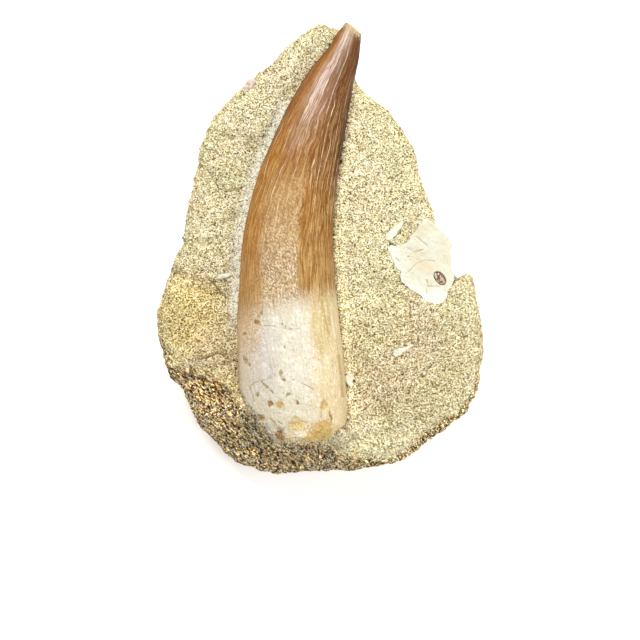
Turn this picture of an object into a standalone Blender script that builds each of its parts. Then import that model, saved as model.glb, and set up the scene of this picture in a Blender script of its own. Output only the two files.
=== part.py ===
"""A fossil plesiosaur tooth, half out of the lump of phosphate rock that it was found in.

The lump lies on its flat back. +Z is up, out of the face that shows the tooth. +Y runs from
the root to the tip, and the tooth's hollow side looks along +X. The origin is under the middle
of the whole piece, on the surface that it lies on. Lengths are written in millimetres, and MM
turns them into Blender's metres where a point is made.
"""

import math

import bmesh
import bpy
from mathutils import Vector, noise

MM = 0.001
GAP = 0.3  # free space that each embedded piece keeps to the rock around it

# --- The rock ---------------------------------------------------------------------------------
PLATEAU = 14.5  # usual height of the face that shows the tooth
BELOW = 2.0  # how far the uncut slab reaches under the flat back
SPREAD = 0.5  # added all round, and taken off again where the net is smoothed
NET = 0.95  # size of the even net that the slab is laid out in
KEPT_SHARE = 0.235  # share of the net's triangles that describes the lump well enough
RIM = 1.5  # width of the worn rim around the face
TUCK = 3.2  # how far the wall draws in on its way down to the flat back

ROCK_OUTLINE = [
    # over the top of the lump and down its long left side
    (3.0, 33.0), (0.2, 33.8), (-2.1, 32.3), (-5.2, 30.2), (-7.3, 27.5), (-11.1, 24.8),
    (-13.6, 22.1), (-16.3, 18.8), (-17.8, 15.0), (-18.6, 10.6), (-19.9, 5.6), (-20.5, 0.5),
    # round the bulge at the lower left
    (-22.2, -2.4), (-23.0, -6.0), (-24.4, -9.6), (-24.3, -12.9), (-23.2, -15.6),
    (-22.7, -18.9), (-20.0, -22.2), (-19.3, -25.1), (-17.1, -28.1), (-12.7, -32.7),
    # along the foot
    (-8.7, -33.9), (-5.0, -34.2), (-2.7, -33.4), (2.7, -33.2), (8.5, -32.6), (12.6, -31.5),
    (15.2, -29.3), (18.0, -27.2), (21.3, -25.1), (23.3, -21.6), (24.5, -15.6), (24.0, -10.8),
    # the horn of rock below the bone plate, and the edge that the plate lies over
    (23.3, -7.2), (22.8, -4.1), (21.9, -4.0), (20.1, -5.0), (19.3, -2.5), (19.1, 0.8),
    # back up the right side, and under the tooth's tip
    (17.1, 4.1), (16.9, 5.6), (15.8, 8.1), (14.7, 11.1), (14.2, 14.6), (12.7, 17.0),
    (10.8, 19.2), (10.2, 20.7), (8.1, 22.0), (5.4, 24.2), (4.6, 28.0), (4.0, 31.3),
]

# The broken flank around the root's end has three slopes. Each has a point on its upper edge,
# its downhill direction and its fall in millimetres for each millimetre along that. The first
# two meet in a hollow, and the third breaks away from the second at an edge.
UPPER_LEFT_SLOPE = (Vector((-18.0, -17.0)), Vector((0.2, -0.98)), 1.0)
LEFT_SLOPE = (Vector((-17.0, -17.4)), Vector((-0.72, -0.69)), 0.8)
FOOT_SLOPE = (Vector((-5.3, -29.2)), Vector((-0.22, -0.98)), 1.25)

# A ledge breaks off left of the crown: a line, the drop under it, and the length in which the
# surface comes back up.
LEDGE_START = Vector((-22.0, -2.6))
LEDGE_END = Vector((-12.6, -6.6))
LEDGE_DROP = 1.0
LEDGE_RUN = 4.5

# Rounded swellings and hollows of the face: centre, radius, height.
SWELLINGS = [
    ((-21.3, -8.0), 3.2, 0.8),
    ((-13.0, 20.0), 5.0, 0.5),
    ((13.5, -22.0), 6.0, 0.5),
    ((9.5, -6.0), 4.5, -0.5),
    ((16.5, -11.5), 3.5, 0.4),
    ((-14.5, -26.0), 2.4, 0.8),
    ((-17.0, -14.6), 2.2, 0.6),
]
PIT_DEPTH = 1.0

# The groove that was cut along the tooth's left side to free it, between two shares of its length.
GROOVE_FROM, GROOVE_TO = 0.3, 0.86
GROOVE_RADIUS = 1.0
GROOVE_HEIGHT = 14.5

# --- The tooth --------------------------------------------------------------------------------
# From the broken end of the root to the worn tip: x, y and z of the axis, and the half width.
TOOTH_STATIONS = [
    (-2.4, -28.3, 14.1, 5.2),
    (-2.8, -26.9, 14.5, 6.8),
    (-3.5, -23.9, 14.9, 7.6),
    (-4.2, -19.0, 15.1, 7.9),
    (-4.8, -9.0, 15.3, 7.45),
    (-4.75, 1.0, 15.4, 6.75),
    (-3.5, 9.5, 15.4, 5.95),
    (-1.2, 17.5, 15.3, 4.95),
    (1.1, 23.8, 15.2, 3.85),
    (3.3, 28.8, 15.1, 2.6),
    (4.95, 33.2, 15.1, 1.35),
]
TOOTH_FLATNESS = 0.84  # height of a cross-section over its width
TOOTH_RINGS = 23
RIDGES = 34  # enamel ridges around the crown
RIDGE_HEIGHT = 0.34
CROWN_START = 0.36  # share of the length at which the enamel begins
CROWN_FULL = 0.55  # share at which the ridges have their full height
END_DOME = 0.5  # how far the broken ends bulge
BED_SIDES = 24
BED_RINGS = 22

# --- The bone plate and its nodule ------------------------------------------------------------
BONE_OUTLINE = [
    (15.5, 4.2), (16.8, 4.2), (17.6, 3.0), (19.4, 1.5), (19.7, 0.4), (19.5, -0.6),
    (19.7, -1.8), (19.5, -2.9), (20.0, -4.6), (19.2, -6.4), (18.5, -7.8), (17.4, -8.2),
    (16.3, -7.8), (15.2, -6.8), (13.7, -5.9), (12.3, -4.7), (12.5, -3.3), (11.5, -2.7),
    (11.0, -1.2), (10.4, 0.2), (12.3, 0.5), (13.2, 0.8), (14.4, 2.3),
]
BONE_TOP = 14.2
BONE_THICK = 2.0
BONE_EDGE = 0.2  # worn rounding of the plate's rim
NODULE_CENTRE = (18.0, -4.4)
NODULE_HALF = (1.1, 0.62, 0.5)
NODULE_TURN = math.radians(-52)
PIT_ROOM = 0.28  # space between the nodule and the pit that it sits in

# --- Splinters of bone and shell in the face --------------------------------------------------
# Name, centre, length, width, turn in degrees and what it is.
SPLINTERS = [
    ("upper_bone_sliver", (11.2, 2.7), 3.4, 0.95, 43, "bone"),
    ("lower_bone_sliver", (12.3, -15.3), 3.0, 0.9, 27, "bone"),
    ("bone_chip_beside_root", (5.0, -19.5), 2.0, 1.2, -80, "bone"),
    ("bone_splinter_beside_crown", (-14.3, -4.0), 2.3, 0.7, 12, "bone"),
    ("flake_on_left_edge", (-10.5, 24.5), 2.0, 1.2, 40, "shell"),
]
SPLINTER_THICK = 0.9
SPLINTER_PROUD = 0.15  # how far a splinter stands out of the face


def clear_scene():
    for obj in list(bpy.data.objects):
        bpy.data.objects.remove(obj)


def collection_named(name):
    found = bpy.data.collections.new(name)
    bpy.context.scene.collection.children.link(found)
    return found


def material_named(name, colour, roughness):
    made = bpy.data.materials.new(name)
    made.use_nodes = True
    shader = made.node_tree.nodes["Principled BSDF"]
    shader.inputs["Base Color"].default_value = (*colour, 1.0)
    shader.inputs["Roughness"].default_value = roughness
    shader.inputs["Metallic"].default_value = 0.0
    return made


def object_from(name, mesh, collection, material=None):
    obj = bpy.data.objects.new(name, mesh)
    collection.objects.link(obj)
    if material:
        mesh.materials.clear()
        mesh.materials.append(material)
    return obj


def mark_cutter(obj):
    obj.hide_render = True
    obj.display_type = "WIRE"
    return obj


def cut_with(obj, cutter):
    cut = obj.modifiers.new("cut_" + cutter.name, "BOOLEAN")
    cut.operation = "DIFFERENCE"
    cut.solver = "EXACT"
    cut.object = cutter


def smoothstep(low, high, value):
    share = min(1.0, max(0.0, (value - low) / (high - low)))
    return share * share * (3 - 2 * share)


def lumps(x, y, z, size):
    """Smooth noise from about -1 to 1 whose swellings are about size millimetres across."""
    return noise.noise(Vector((x, y, z)) / size)


def slab(name, outline, low, high, collection):
    """A flat slab with this outline, from one height to another, as a welded mesh."""
    curve = bpy.data.curves.new(name, "CURVE")
    curve.dimensions = "2D"
    curve.fill_mode = "BOTH"
    curve.extrude = (high - low) / 2 * MM
    line = curve.splines.new("POLY")
    line.points.add(len(outline) - 1)
    line.use_cyclic_u = True
    for point, (x, y) in zip(line.points, outline):
        point.co = (x * MM, y * MM, 0, 1)
    drawn = object_from(name, curve, collection)
    drawn.location.z = (low + high) / 2 * MM
    bpy.context.view_layer.update()
    graph = bpy.context.evaluated_depsgraph_get()
    mesh = bpy.data.meshes.new_from_object(drawn.evaluated_get(graph))
    solid = bmesh.new()
    solid.from_mesh(mesh)
    bmesh.ops.remove_doubles(solid, verts=solid.verts, dist=0.01 * MM)
    bmesh.ops.recalc_face_normals(solid, faces=solid.faces)
    solid.to_mesh(mesh)
    solid.free()
    mesh.transform(drawn.matrix_world)
    bpy.data.objects.remove(drawn)
    return object_from(name, mesh, collection)


def grown(outline, by):
    """The outline moved outwards by this much, corner by corner."""
    count = len(outline)
    area = sum(
        outline[i][0] * outline[(i + 1) % count][1] - outline[(i + 1) % count][0] * outline[i][1]
        for i in range(count)
    )
    outwards = 1 if area > 0 else -1
    moved = []
    for i, corner in enumerate(outline):
        before = Vector(corner) - Vector(outline[i - 1])
        after = Vector(outline[(i + 1) % count]) - Vector(corner)
        normal = Vector((before.y, -before.x)).normalized() + Vector((after.y, -after.x)).normalized()
        spread = max(normal.length_squared / 2, 0.5)
        moved.append(tuple(Vector(corner) + normal * by * outwards / spread))
    return moved


SPREAD_OUTLINE = grown(ROCK_OUTLINE, SPREAD)


def distance_to_outline(x, y):
    """How far a point is from the spread outline, seen from above."""
    point = Vector((x, y))
    nearest = math.inf
    for i, end in enumerate(SPREAD_OUTLINE):
        start = Vector(SPREAD_OUTLINE[i - 1])
        along = Vector(end) - start
        share = min(1.0, max(0.0, (point - start).dot(along) / along.length_squared))
        nearest = min(nearest, (start + along * share - point).length)
    return nearest


def fall_of(slope, x, y):
    start, downhill, fall = slope
    return (Vector((x, y)) - start).dot(downhill) * fall


def flank_drop(x, y):
    """How far the broken flank around the root's end lies below the face."""
    hollow = min(fall_of(UPPER_LEFT_SLOPE, x, y), fall_of(LEFT_SLOPE, x, y))
    return min(8.5, max(0.0, hollow, fall_of(FOOT_SLOPE, x, y)))


def ledge_drop(x, y):
    """The step left of the crown: deepest at its foot, and gone one run further down."""
    along = (LEDGE_END - LEDGE_START).normalized()
    below = Vector((along.y, -along.x))
    offset = Vector((x, y)) - LEDGE_START
    past = offset.dot(below)
    if past < 0 or offset.dot(along) > (LEDGE_END - LEDGE_START).length:
        return 0.0
    return LEDGE_DROP * smoothstep(0, 0.8, past) * (1 - smoothstep(0.8, LEDGE_RUN, past))


def face_height(x, y):
    """Height of the rock's upper face, before its rim is rounded."""
    height = PLATEAU + 0.55 * lumps(x, y, 0, 9.0) + 0.3 * lumps(x, y, 40, 3.6)
    height -= PIT_DEPTH * smoothstep(0.2, 0.7, lumps(x, y, 200, 3.3))
    height -= ledge_drop(x, y)
    for (cx, cy), radius, rise in SWELLINGS:
        height += rise * math.exp(-((x - cx) ** 2 + (y - cy) ** 2) / radius**2)
    drop = flank_drop(x, y)
    steps = 0.9 * lumps(x, y, 80, 2.6) * smoothstep(0, 2.5, drop)
    return height - drop + steps


def rim_drop(x, y):
    """The worn rim, whose rounding changes in size on its way around the lump."""
    radius = RIM * (1 + 0.5 * lumps(x, y, 120, 6.0))
    inside = min(radius, distance_to_outline(x, y))
    return radius * (1 - inside / radius) ** 2


def shape_rock(mesh):
    """Turns the even net of the slab into the lump, one vertex at a time."""
    for vertex in mesh.vertices:
        x, y, z = vertex.co / MM
        share = min(1.0, max(0.0, z / PLATEAU))
        top = face_height(x, y) - rim_drop(x, y)
        near_wall = 1 - smoothstep(1.0, 6.0, distance_to_outline(x, y))
        bulges = 0.5 + 0.8 * lumps(x, y, z, 6.0) + 0.4 * lumps(x, y, z, 2.8)
        drawn_in = TUCK * (1 - share) ** 0.9 * max(0.0, bulges) * near_wall
        inwards = Vector((x, y)) * (1 - drawn_in / max(1.0, math.hypot(x, y)))
        height = z if z < 0 else share * top
        vertex.co = Vector((inwards.x, inwards.y, height)) * MM


def make_rock(parts, cutters, material):
    block = slab("uncut_slab", SPREAD_OUTLINE, -BELOW, PLATEAU, cutters)
    net = block.modifiers.new("even_net", "REMESH")
    net.mode = "VOXEL"
    net.voxel_size = NET * MM
    bpy.context.view_layer.update()
    graph = bpy.context.evaluated_depsgraph_get()
    mesh = bpy.data.meshes.new_from_object(block.evaluated_get(graph))
    bpy.data.objects.remove(block)
    shape_rock(mesh)
    rock = object_from("matrix_rock", mesh, parts, material)
    worn = rock.modifiers.new("worn_smooth", "SMOOTH")
    worn.factor = 0.5
    worn.iterations = 3
    fewer = rock.modifiers.new("fewer_faces", "DECIMATE")
    fewer.ratio = KEPT_SHARE
    half = 50.0
    square = [(-half, -half), (half, -half), (half, half), (-half, half)]
    cut_with(rock, mark_cutter(slab("flat_back", square, -half, 0.0, cutters)))
    return rock


def spline_at(stations, share):
    """A smooth curve through the stations, where share runs from 0 at the first to 1 at the last."""
    place = share * (len(stations) - 1)
    index = min(int(place), len(stations) - 2)
    step = place - index
    before, start, end, after = (
        Vector(stations[min(max(i, 0), len(stations) - 1)]) for i in range(index - 1, index + 3)
    )
    return 0.5 * (
        2 * start
        + (end - before) * step
        + (2 * before - 5 * start + 4 * end - after) * step**2
        + (3 * start - before - 3 * end + after) * step**3
    )


def tooth_point(share, angle, grow, ridge):
    """A point of the tooth's skin: share of the length, angle around it, and what is added to it."""
    x, y, z, half_width = spline_at(TOOTH_STATIONS, share)
    ahead = spline_at(TOOTH_STATIONS, min(1.0, share + 0.01))
    behind = spline_at(TOOTH_STATIONS, max(0.0, share - 0.01))
    along = Vector(ahead[:3]) - Vector(behind[:3])
    along.x *= smoothstep(-0.1, 0.25, share)  # the root is broken off squarely
    along.normalize()
    across = along.cross(Vector((0, 0, 1))).normalized()
    up = across.cross(along)
    enamel = smoothstep(CROWN_START, CROWN_FULL, share) * (1 - 0.6 * smoothstep(0.85, 1.0, share))
    radius = half_width + grow + ridge * RIDGE_HEIGHT * enamel
    height = half_width * TOOTH_FLATNESS + grow + ridge * RIDGE_HEIGHT * enamel
    return Vector((x, y, z)) + across * radius * math.cos(angle) + up * height * math.sin(angle)


def tooth_mesh(name, sides, rings, grow, ridged):
    """A drum of rings whose points are then laid on the tooth's skin, with domed ends."""
    drum = bmesh.new()
    bmesh.ops.create_cone(drum, cap_ends=True, segments=sides, radius1=1, radius2=1, depth=1)
    upright = [e for e in drum.edges if abs(e.verts[0].co.z - e.verts[1].co.z) > 0.5]
    bmesh.ops.subdivide_edges(drum, edges=upright, cuts=rings - 2, use_grid_fill=True)
    caps = [f for f in drum.faces if len(f.verts) == sides]
    centres = bmesh.ops.poke(drum, faces=caps)["verts"]
    for vertex in drum.verts:
        share = vertex.co.z + 0.5
        if vertex in centres:
            middle = Vector(spline_at(TOOTH_STATIONS, round(share))[:3])
            outwards = -1 if share < 0.5 else 1
            vertex.co = (middle + Vector((0, outwards * (END_DOME + grow), 0))) * MM
            continue
        angle = math.atan2(vertex.co.y, vertex.co.x)
        number = round(angle / math.tau * sides)
        ridge = (0.5 if number % 2 else -0.5) if ridged else 0.0
        vertex.co = tooth_point(share, angle, grow, ridge) * MM
    drum.normal_update()
    bmesh.ops.recalc_face_normals(drum, faces=drum.faces)
    mesh = bpy.data.meshes.new(name)
    drum.to_mesh(mesh)
    drum.free()
    return mesh


def groove_cutter(cutters):
    """A round bar along the tooth's left side, which cuts the groove."""
    curve = bpy.data.curves.new("groove", "CURVE")
    curve.dimensions = "3D"
    curve.bevel_depth = GROOVE_RADIUS * MM
    curve.bevel_resolution = 2
    curve.use_fill_caps = True
    line = curve.splines.new("POLY")
    line.points.add(17)
    for i, point in enumerate(line.points):
        step = i / (len(line.points) - 1)
        share = GROOVE_FROM + (GROOVE_TO - GROOVE_FROM) * step
        runs_out = smoothstep(0.3, 0.5, abs(step - 0.5))
        place = tooth_point(share, math.pi, 0.2 - 1.3 * runs_out, 0.0)
        point.co = (place.x * MM, place.y * MM, GROOVE_HEIGHT * MM, 1)
    drawn = object_from("groove", curve, cutters)
    bpy.context.view_layer.update()
    graph = bpy.context.evaluated_depsgraph_get()
    mesh = bpy.data.meshes.new_from_object(drawn.evaluated_get(graph))
    solid = bmesh.new()
    solid.from_mesh(mesh)
    bmesh.ops.remove_doubles(solid, verts=solid.verts, dist=0.01 * MM)
    solid.normal_update()
    bmesh.ops.recalc_face_normals(solid, faces=solid.faces)
    solid.to_mesh(mesh)
    solid.free()
    bpy.data.objects.remove(drawn)
    return object_from("tooth_groove", mesh, cutters)


def make_tooth(parts, cutters, rock, material):
    tooth = object_from("tooth", tooth_mesh("tooth", 2 * RIDGES, TOOTH_RINGS, 0.0, True), parts, material)
    room = GAP + RIDGE_HEIGHT / 2
    bed = object_from("tooth_bed", tooth_mesh("tooth_bed", BED_SIDES, BED_RINGS, room, False), cutters)
    cut_with(rock, mark_cutter(bed))
    cut_with(rock, mark_cutter(groove_cutter(cutters)))
    return tooth


def pebble(name, half, centre, turn, collection, detail=2, material=None):
    """A rounded lump with these half sizes, turned about the vertical."""
    ball = bmesh.new()
    bmesh.ops.create_icosphere(ball, subdivisions=detail, radius=1.0)
    bmesh.ops.scale(ball, vec=Vector(half) * MM, verts=ball.verts)
    mesh = bpy.data.meshes.new(name)
    ball.to_mesh(mesh)
    ball.free()
    obj = object_from(name, mesh, collection, material)
    obj.location = Vector(centre) * MM
    obj.rotation_euler.z = turn
    return obj


def make_bone(parts, cutters, rock, bone_material, nodule_material):
    low = BONE_TOP - BONE_THICK
    bone = slab("bone_plate", BONE_OUTLINE, low, BONE_TOP, parts)
    bone.data.materials.append(bone_material)
    worn = bone.modifiers.new("worn_rim", "BEVEL")
    worn.width = BONE_EDGE * MM
    worn.segments = 2
    pocket = slab("bone_pocket", grown(BONE_OUTLINE, GAP), low - GAP, PLATEAU + 5, cutters)
    cut_with(rock, mark_cutter(pocket))
    centre = (*NODULE_CENTRE, BONE_TOP - NODULE_HALF[2] * 0.7)
    pebble("brown_nodule", NODULE_HALF, centre, NODULE_TURN, parts, 2, nodule_material)
    room = [half + PIT_ROOM for half in NODULE_HALF]
    cut_with(bone, mark_cutter(pebble("nodule_pit", room, centre, NODULE_TURN, cutters)))
    return bone


def make_splinters(parts, cutters, rock, materials):
    for name, (x, y), length, width, turn, stuff in SPLINTERS:
        half = (length / 2, width / 2, SPLINTER_THICK / 2)
        top = face_height(x, y) - rim_drop(x, y) + SPLINTER_PROUD
        centre = (x, y, top - half[2])
        pebble(name, half, centre, math.radians(turn), parts, 2, materials[stuff])
        room = [size + GAP for size in half]
        cut_with(rock, mark_cutter(pebble("pocket_" + name, room, centre, math.radians(turn), cutters)))


def main():
    clear_scene()
    parts = collection_named("plesiosaur_tooth_in_rock")
    cutters = collection_named("cutters")
    sandstone = material_named("phosphate_rock", (0.72, 0.64, 0.41), 0.9)
    enamel = material_named("fossil_tooth", (0.45, 0.22, 0.08), 0.35)
    bone = material_named("pale_bone", (0.88, 0.82, 0.62), 0.6)
    brown = material_named("brown_phosphate", (0.25, 0.11, 0.05), 0.3)
    shell = material_named("pink_shell", (0.72, 0.36, 0.29), 0.6)
    rock = make_rock(parts, cutters, sandstone)
    make_tooth(parts, cutters, rock, enamel)
    make_bone(parts, cutters, rock, bone, brown)
    make_splinters(parts, cutters, rock, {"bone": bone, "shell": shell})


main()
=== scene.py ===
# %% [markdown]
# # A fossil tooth in its rock
#
# The tooth of a long-necked sea reptile lies half sunk in a lump of sandy phosphate rock. This
# lesson dresses a plain model of that lump. The plain model gives the size and the place of every
# piece. Here each piece gets its real surface: sand grains, enamel ridges, cracks and stains.
#
# Everything is in metres, with +Z up out of the rock's face and +Y from the root to the tip.
# Most numbers are easier to read in millimetres, so MM turns them into metres.

# %% Load the plain model
import math

import bmesh
import bpy
import numpy as np
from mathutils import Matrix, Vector, noise
from mathutils.bvhtree import BVHTree


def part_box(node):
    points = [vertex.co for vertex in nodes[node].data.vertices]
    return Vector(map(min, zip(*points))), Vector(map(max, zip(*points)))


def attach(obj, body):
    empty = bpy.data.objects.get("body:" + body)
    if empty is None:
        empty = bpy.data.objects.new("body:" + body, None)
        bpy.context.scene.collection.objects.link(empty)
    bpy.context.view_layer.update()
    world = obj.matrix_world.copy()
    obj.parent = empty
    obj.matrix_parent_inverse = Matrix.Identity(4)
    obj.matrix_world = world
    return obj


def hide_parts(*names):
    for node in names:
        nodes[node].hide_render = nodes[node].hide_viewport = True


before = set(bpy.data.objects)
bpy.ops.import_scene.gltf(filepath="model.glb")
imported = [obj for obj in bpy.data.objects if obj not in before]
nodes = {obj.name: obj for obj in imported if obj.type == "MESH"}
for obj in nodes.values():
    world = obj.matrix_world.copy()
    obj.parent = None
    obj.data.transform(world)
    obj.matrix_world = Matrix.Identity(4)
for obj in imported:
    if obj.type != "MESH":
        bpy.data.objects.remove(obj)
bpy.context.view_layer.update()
MM = 0.001
print("plain pieces:", ", ".join(sorted(nodes)))

# %% [markdown]
# ## A few tools
#
# An operator works on whatever is selected, so the first tool clears the selection and picks one
# object. The second adds a modifier, sets it and applies it. The others read and write the places
# of all the vertices of a mesh at once, which is far quicker than one by one. Smooth steps and
# smooth noise, the two last kinds of tool, shape nearly everything below.

# %% Tools for meshes
def pick(obj):
    """Makes this the only selected object, and the active one."""
    bpy.ops.object.select_all(action="DESELECT")
    obj.select_set(True)
    bpy.context.view_layer.objects.active = obj


def modify(obj, kind, **settings):
    """Adds a modifier with these settings and applies it."""
    pick(obj)
    added = obj.modifiers.new(kind.lower(), kind)
    for name, value in settings.items():
        setattr(added, name, value)
    bpy.ops.object.modifier_apply(modifier=added.name)


def places(obj):
    """The places of all vertices, in millimetres."""
    found = np.empty(len(obj.data.vertices) * 3, np.float32)
    obj.data.vertices.foreach_get("co", found)
    return found.reshape(-1, 3).astype(float) / MM


def put(obj, points):
    """Moves all vertices to these places, in millimetres."""
    obj.data.vertices.foreach_set("co", np.asarray(points * MM, np.float32).ravel())
    obj.data.update()


def normals(obj):
    """The direction in which the surface faces at each vertex."""
    found = np.empty(len(obj.data.vertices) * 3, np.float32)
    obj.data.vertex_normals.foreach_get("vector", found)
    return found.reshape(-1, 3).astype(float)


def remember(obj, name, values):
    """Keeps one number for each vertex, which a material can read by this name."""
    kept = obj.data.attributes.new(name, "FLOAT", "POINT")
    kept.data.foreach_set("value", np.asarray(values, np.float32))


def weld(obj, distance):
    """Merges vertices closer than this many millimetres, and turns all faces outwards."""
    pick(obj)
    bpy.ops.object.mode_set(mode="EDIT")
    bpy.ops.mesh.select_all(action="SELECT")
    bpy.ops.mesh.remove_doubles(threshold=distance * MM)
    bpy.ops.mesh.normals_make_consistent(inside=False)
    bpy.ops.object.mode_set(mode="OBJECT")


def triangles(obj):
    """How many triangles the mesh has."""
    return sum(len(face.vertices) - 2 for face in obj.data.polygons)


# %% Smooth steps and smooth noise
def step(low, high, values):
    """0 below low, 1 above high, and a smooth slope in between."""
    share = np.clip((values - low) / (high - low), 0.0, 1.0)
    return share * share * (3 - 2 * share)


def swell(points, size, shift=0.0):
    """Smooth noise from about -1 to 1, with swellings of this size in millimetres."""
    return np.array([noise.noise(point) for point in (points / size + shift).tolist()])


# %% [markdown]
# ## The camera, the light and the floor
#
# The piece is laid on a pale floor and looked at from straight above. A long lens keeps the high
# tooth from looking larger than the low rock. The main light is a broad soft panel beyond the tip
# of the tooth and a little to its left, so that ledges facing the root end fall into shade. A
# weaker panel at the right and a white sky fill the shadows.

# %% Camera
FACE_HEIGHT = 14.5
LENS = 100.0
SENSOR = 36.0
VIEW_WIDTH = 96.0
VIEW_MIDDLE = -10.65  # below the piece's middle, so that the piece lies high in the view
distance = VIEW_WIDTH * LENS / SENSOR

camera_place = (0, VIEW_MIDDLE * MM, (FACE_HEIGHT + distance) * MM)
bpy.ops.object.camera_add(location=camera_place, rotation=(0, 0, 0))
camera = bpy.context.object
camera.name = "camera_above"
camera.data.lens = LENS
camera.data.sensor_width = SENSOR
camera.data.clip_start = 0.01
bpy.context.scene.camera = camera
print("camera", round(distance), "mm above the rock's face")


# %% Light and floor
def panel(name, direction, away, size, watts, colour):
    """A soft square light that shines on the piece from this direction."""
    place = Vector(direction).normalized() * away
    bpy.ops.object.light_add(type="AREA", location=place)
    light = bpy.context.object
    light.name = name
    light.rotation_euler = (-place).to_track_quat("-Z", "Y").to_euler()
    light.data.shape = "SQUARE"
    light.data.size = size
    light.data.energy = watts
    light.data.color = colour


panel("main_panel", (-0.22, 0.61, 0.76), 0.60, 0.24, 3.5, (1.0, 0.99, 0.97))
panel("side_panel", (0.85, -0.15, 0.70), 0.65, 0.50, 2.8, (0.98, 0.99, 1.0))

sky = bpy.data.worlds.new("white_sky")
bpy.context.scene.world = sky
sky.use_nodes = True
glow = sky.node_tree.nodes["Background"]
glow.inputs["Color"].default_value = (1.0, 0.995, 0.985, 1)
glow.inputs["Strength"].default_value = 0.40
bpy.context.scene.view_settings.view_transform = "Standard"

bpy.ops.mesh.primitive_plane_add(size=1.2, location=(0, 0, -0.02 * MM))
floor = bpy.context.object
floor.name = "pale_floor"

# %% [markdown]
# ## The tooth
#
# A tooth like this is a slightly flattened cone, bent along its length. Its crown is covered with
# enamel that is folded into fine ridges from the tip down to the root. The ridges waver, start and
# stop. The root is smooth, pitted and flaked. It is broken off, and one corner is missing.
#
# It could be a curve with a bevel, but then the ridges would have to be cut afterwards. Here it is
# a flat grid that is rolled up in code: one side of the grid becomes the way around the tooth, the
# other the way along it. Each vertex can then be lifted or sunk by what the real surface has there.

# %% The line of the tooth
# From the broken end of the root to the worn tip: x, y and z of the middle, and half the width.
STATIONS = np.array([
    (-2.4, -28.3, 14.1, 5.2), (-2.8, -26.9, 14.5, 6.8), (-3.5, -23.9, 14.9, 7.6),
    (-4.2, -19.0, 15.1, 7.9), (-4.8, -9.0, 15.3, 7.45), (-4.75, 1.0, 15.4, 6.75),
    (-3.5, 9.5, 15.4, 5.95), (-1.2, 17.5, 15.3, 4.95), (1.1, 23.8, 15.2, 3.85),
    (3.3, 28.8, 15.1, 2.6), (4.95, 33.2, 15.1, 1.35),
])
FLATNESS = 0.84
AROUND, ALONG = 304, 288


def tooth_line(share):
    """Middle and half width at each share of the tooth's length, on a smooth curve."""
    last = len(STATIONS) - 1
    place = np.clip(share, 0, 1) * last
    index = np.minimum(place.astype(int), last - 1)
    t = (place - index)[:, None]
    before, start, end, after = (STATIONS[np.clip(index + i, 0, last)] for i in (-1, 0, 1, 2))
    return 0.5 * (2 * start + (end - before) * t + (2 * before - 5 * start + 4 * end - after) * t**2
                  + (3 * start - before - 3 * end + after) * t**3)


def across_tooth(y):
    """The x of the tooth's middle line at this y."""
    return np.interp(y, STATIONS[:, 1], STATIONS[:, 0])


# %% [markdown]
# The root's surface has flaked off in small pits. Rust and ochre have stained them, and fine cracks
# cross it. Each stain is drawn as an oval and each crack as a bent line. Noise pushes the points
# about before they are compared with these, so that no edge is a clean curve. The same lists sink
# the surface here and tint the material later.

# %% Stains and cracks of the root
# Each stain: its middle, half width, half length, turn in degrees, and how deep it has flaked off.
STAINS = {
    "olive": [
        (-5.7, -18.4, 0.22, 0.44, 0, 0.2), (-7.9, -20.3, 0.7, 0.14, -38, 0.12),
        (-7, -21.1, 0.18, 0.22, 0, 0.14), (-4.7, -21.6, 0.38, 0.22, 20, 0.16),
        (-11, -16.4, 0.24, 0.55, 30, 0.18), (-10.4, -17.3, 0.18, 0.2, 0, 0.16),
        (-9.2, -21.6, 0.26, 0.28, 0, 0.1), (-5.2, -11.5, 0.44, 0.1, -40, 0.12),
        (-4.6, -13.9, 0.13, 0.15, 0, 0.14), (-5.2, -14.4, 0.34, 0.09, -30, 0.1),
        (-8.6, -19.8, 0.18, 0.2, 0, 0.1), (-6.9, -25.5, 0.14, 0.6, 30, 0.08),
        (-8.6, -9.6, 0.3, 0.26, 0, 0.12), (-10.1, -13.9, 0.16, 0.2, 0, 0.18),
    ],
    "rust": [
        (-5.35, -19.3, 0.26, 0.22, 0, 0.14), (-7.3, -22.9, 0.34, 0.42, 0, 0.18),
        (-3.3, -22.7, 0.22, 0.32, 0, 0.13), (-9, -25.2, 0.7, 0.5, 20, 0.2),
        (-5.9, -27.6, 0.6, 0.86, 0, 0.24), (1.5, -24.8, 0.14, 0.9, 10, 0.12),
        (-9.2, -10.9, 0.4, 0.26, -30, 0.12), (-11, -12.6, 0.3, 0.2, 30, 0.1),
    ],
    "amber": [
        (-5.9, -23, 0.5, 0.52, 0, 0.08), (0.5, -23.1, 0.4, 0.66, -20, 0.15),
        (-0.2, -27.7, 1.75, 1.7, 10, 0.16), (0.4, -26.3, 1.2, 0.8, 0, 0.1),
        (-8.9, -10, 0.34, 0.2, 30, 0.08), (0.8, -26.4, 0.9, 0.8, 0, 0.12),
        (-1.2, -28.7, 1.2, 0.6, 0, 0.12), (0.9, -28.2, 0.8, 0.8, 0, 0.12),
        (-1.6, -28.6, 2.2, 0.5, 0, 0.05), (-0.2, -26.6, 1, 0.7, 0, 0.05),
    ],
    "yellow": [
        (-3.3, -26, 1.3, 0.8, 10, 0.14), (-4.6, -28.3, 0.9, 0.6, 0, 0.12),
        (-3.6, -25.4, 0.55, 0.6, 30, 0.1),
    ],
}
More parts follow.
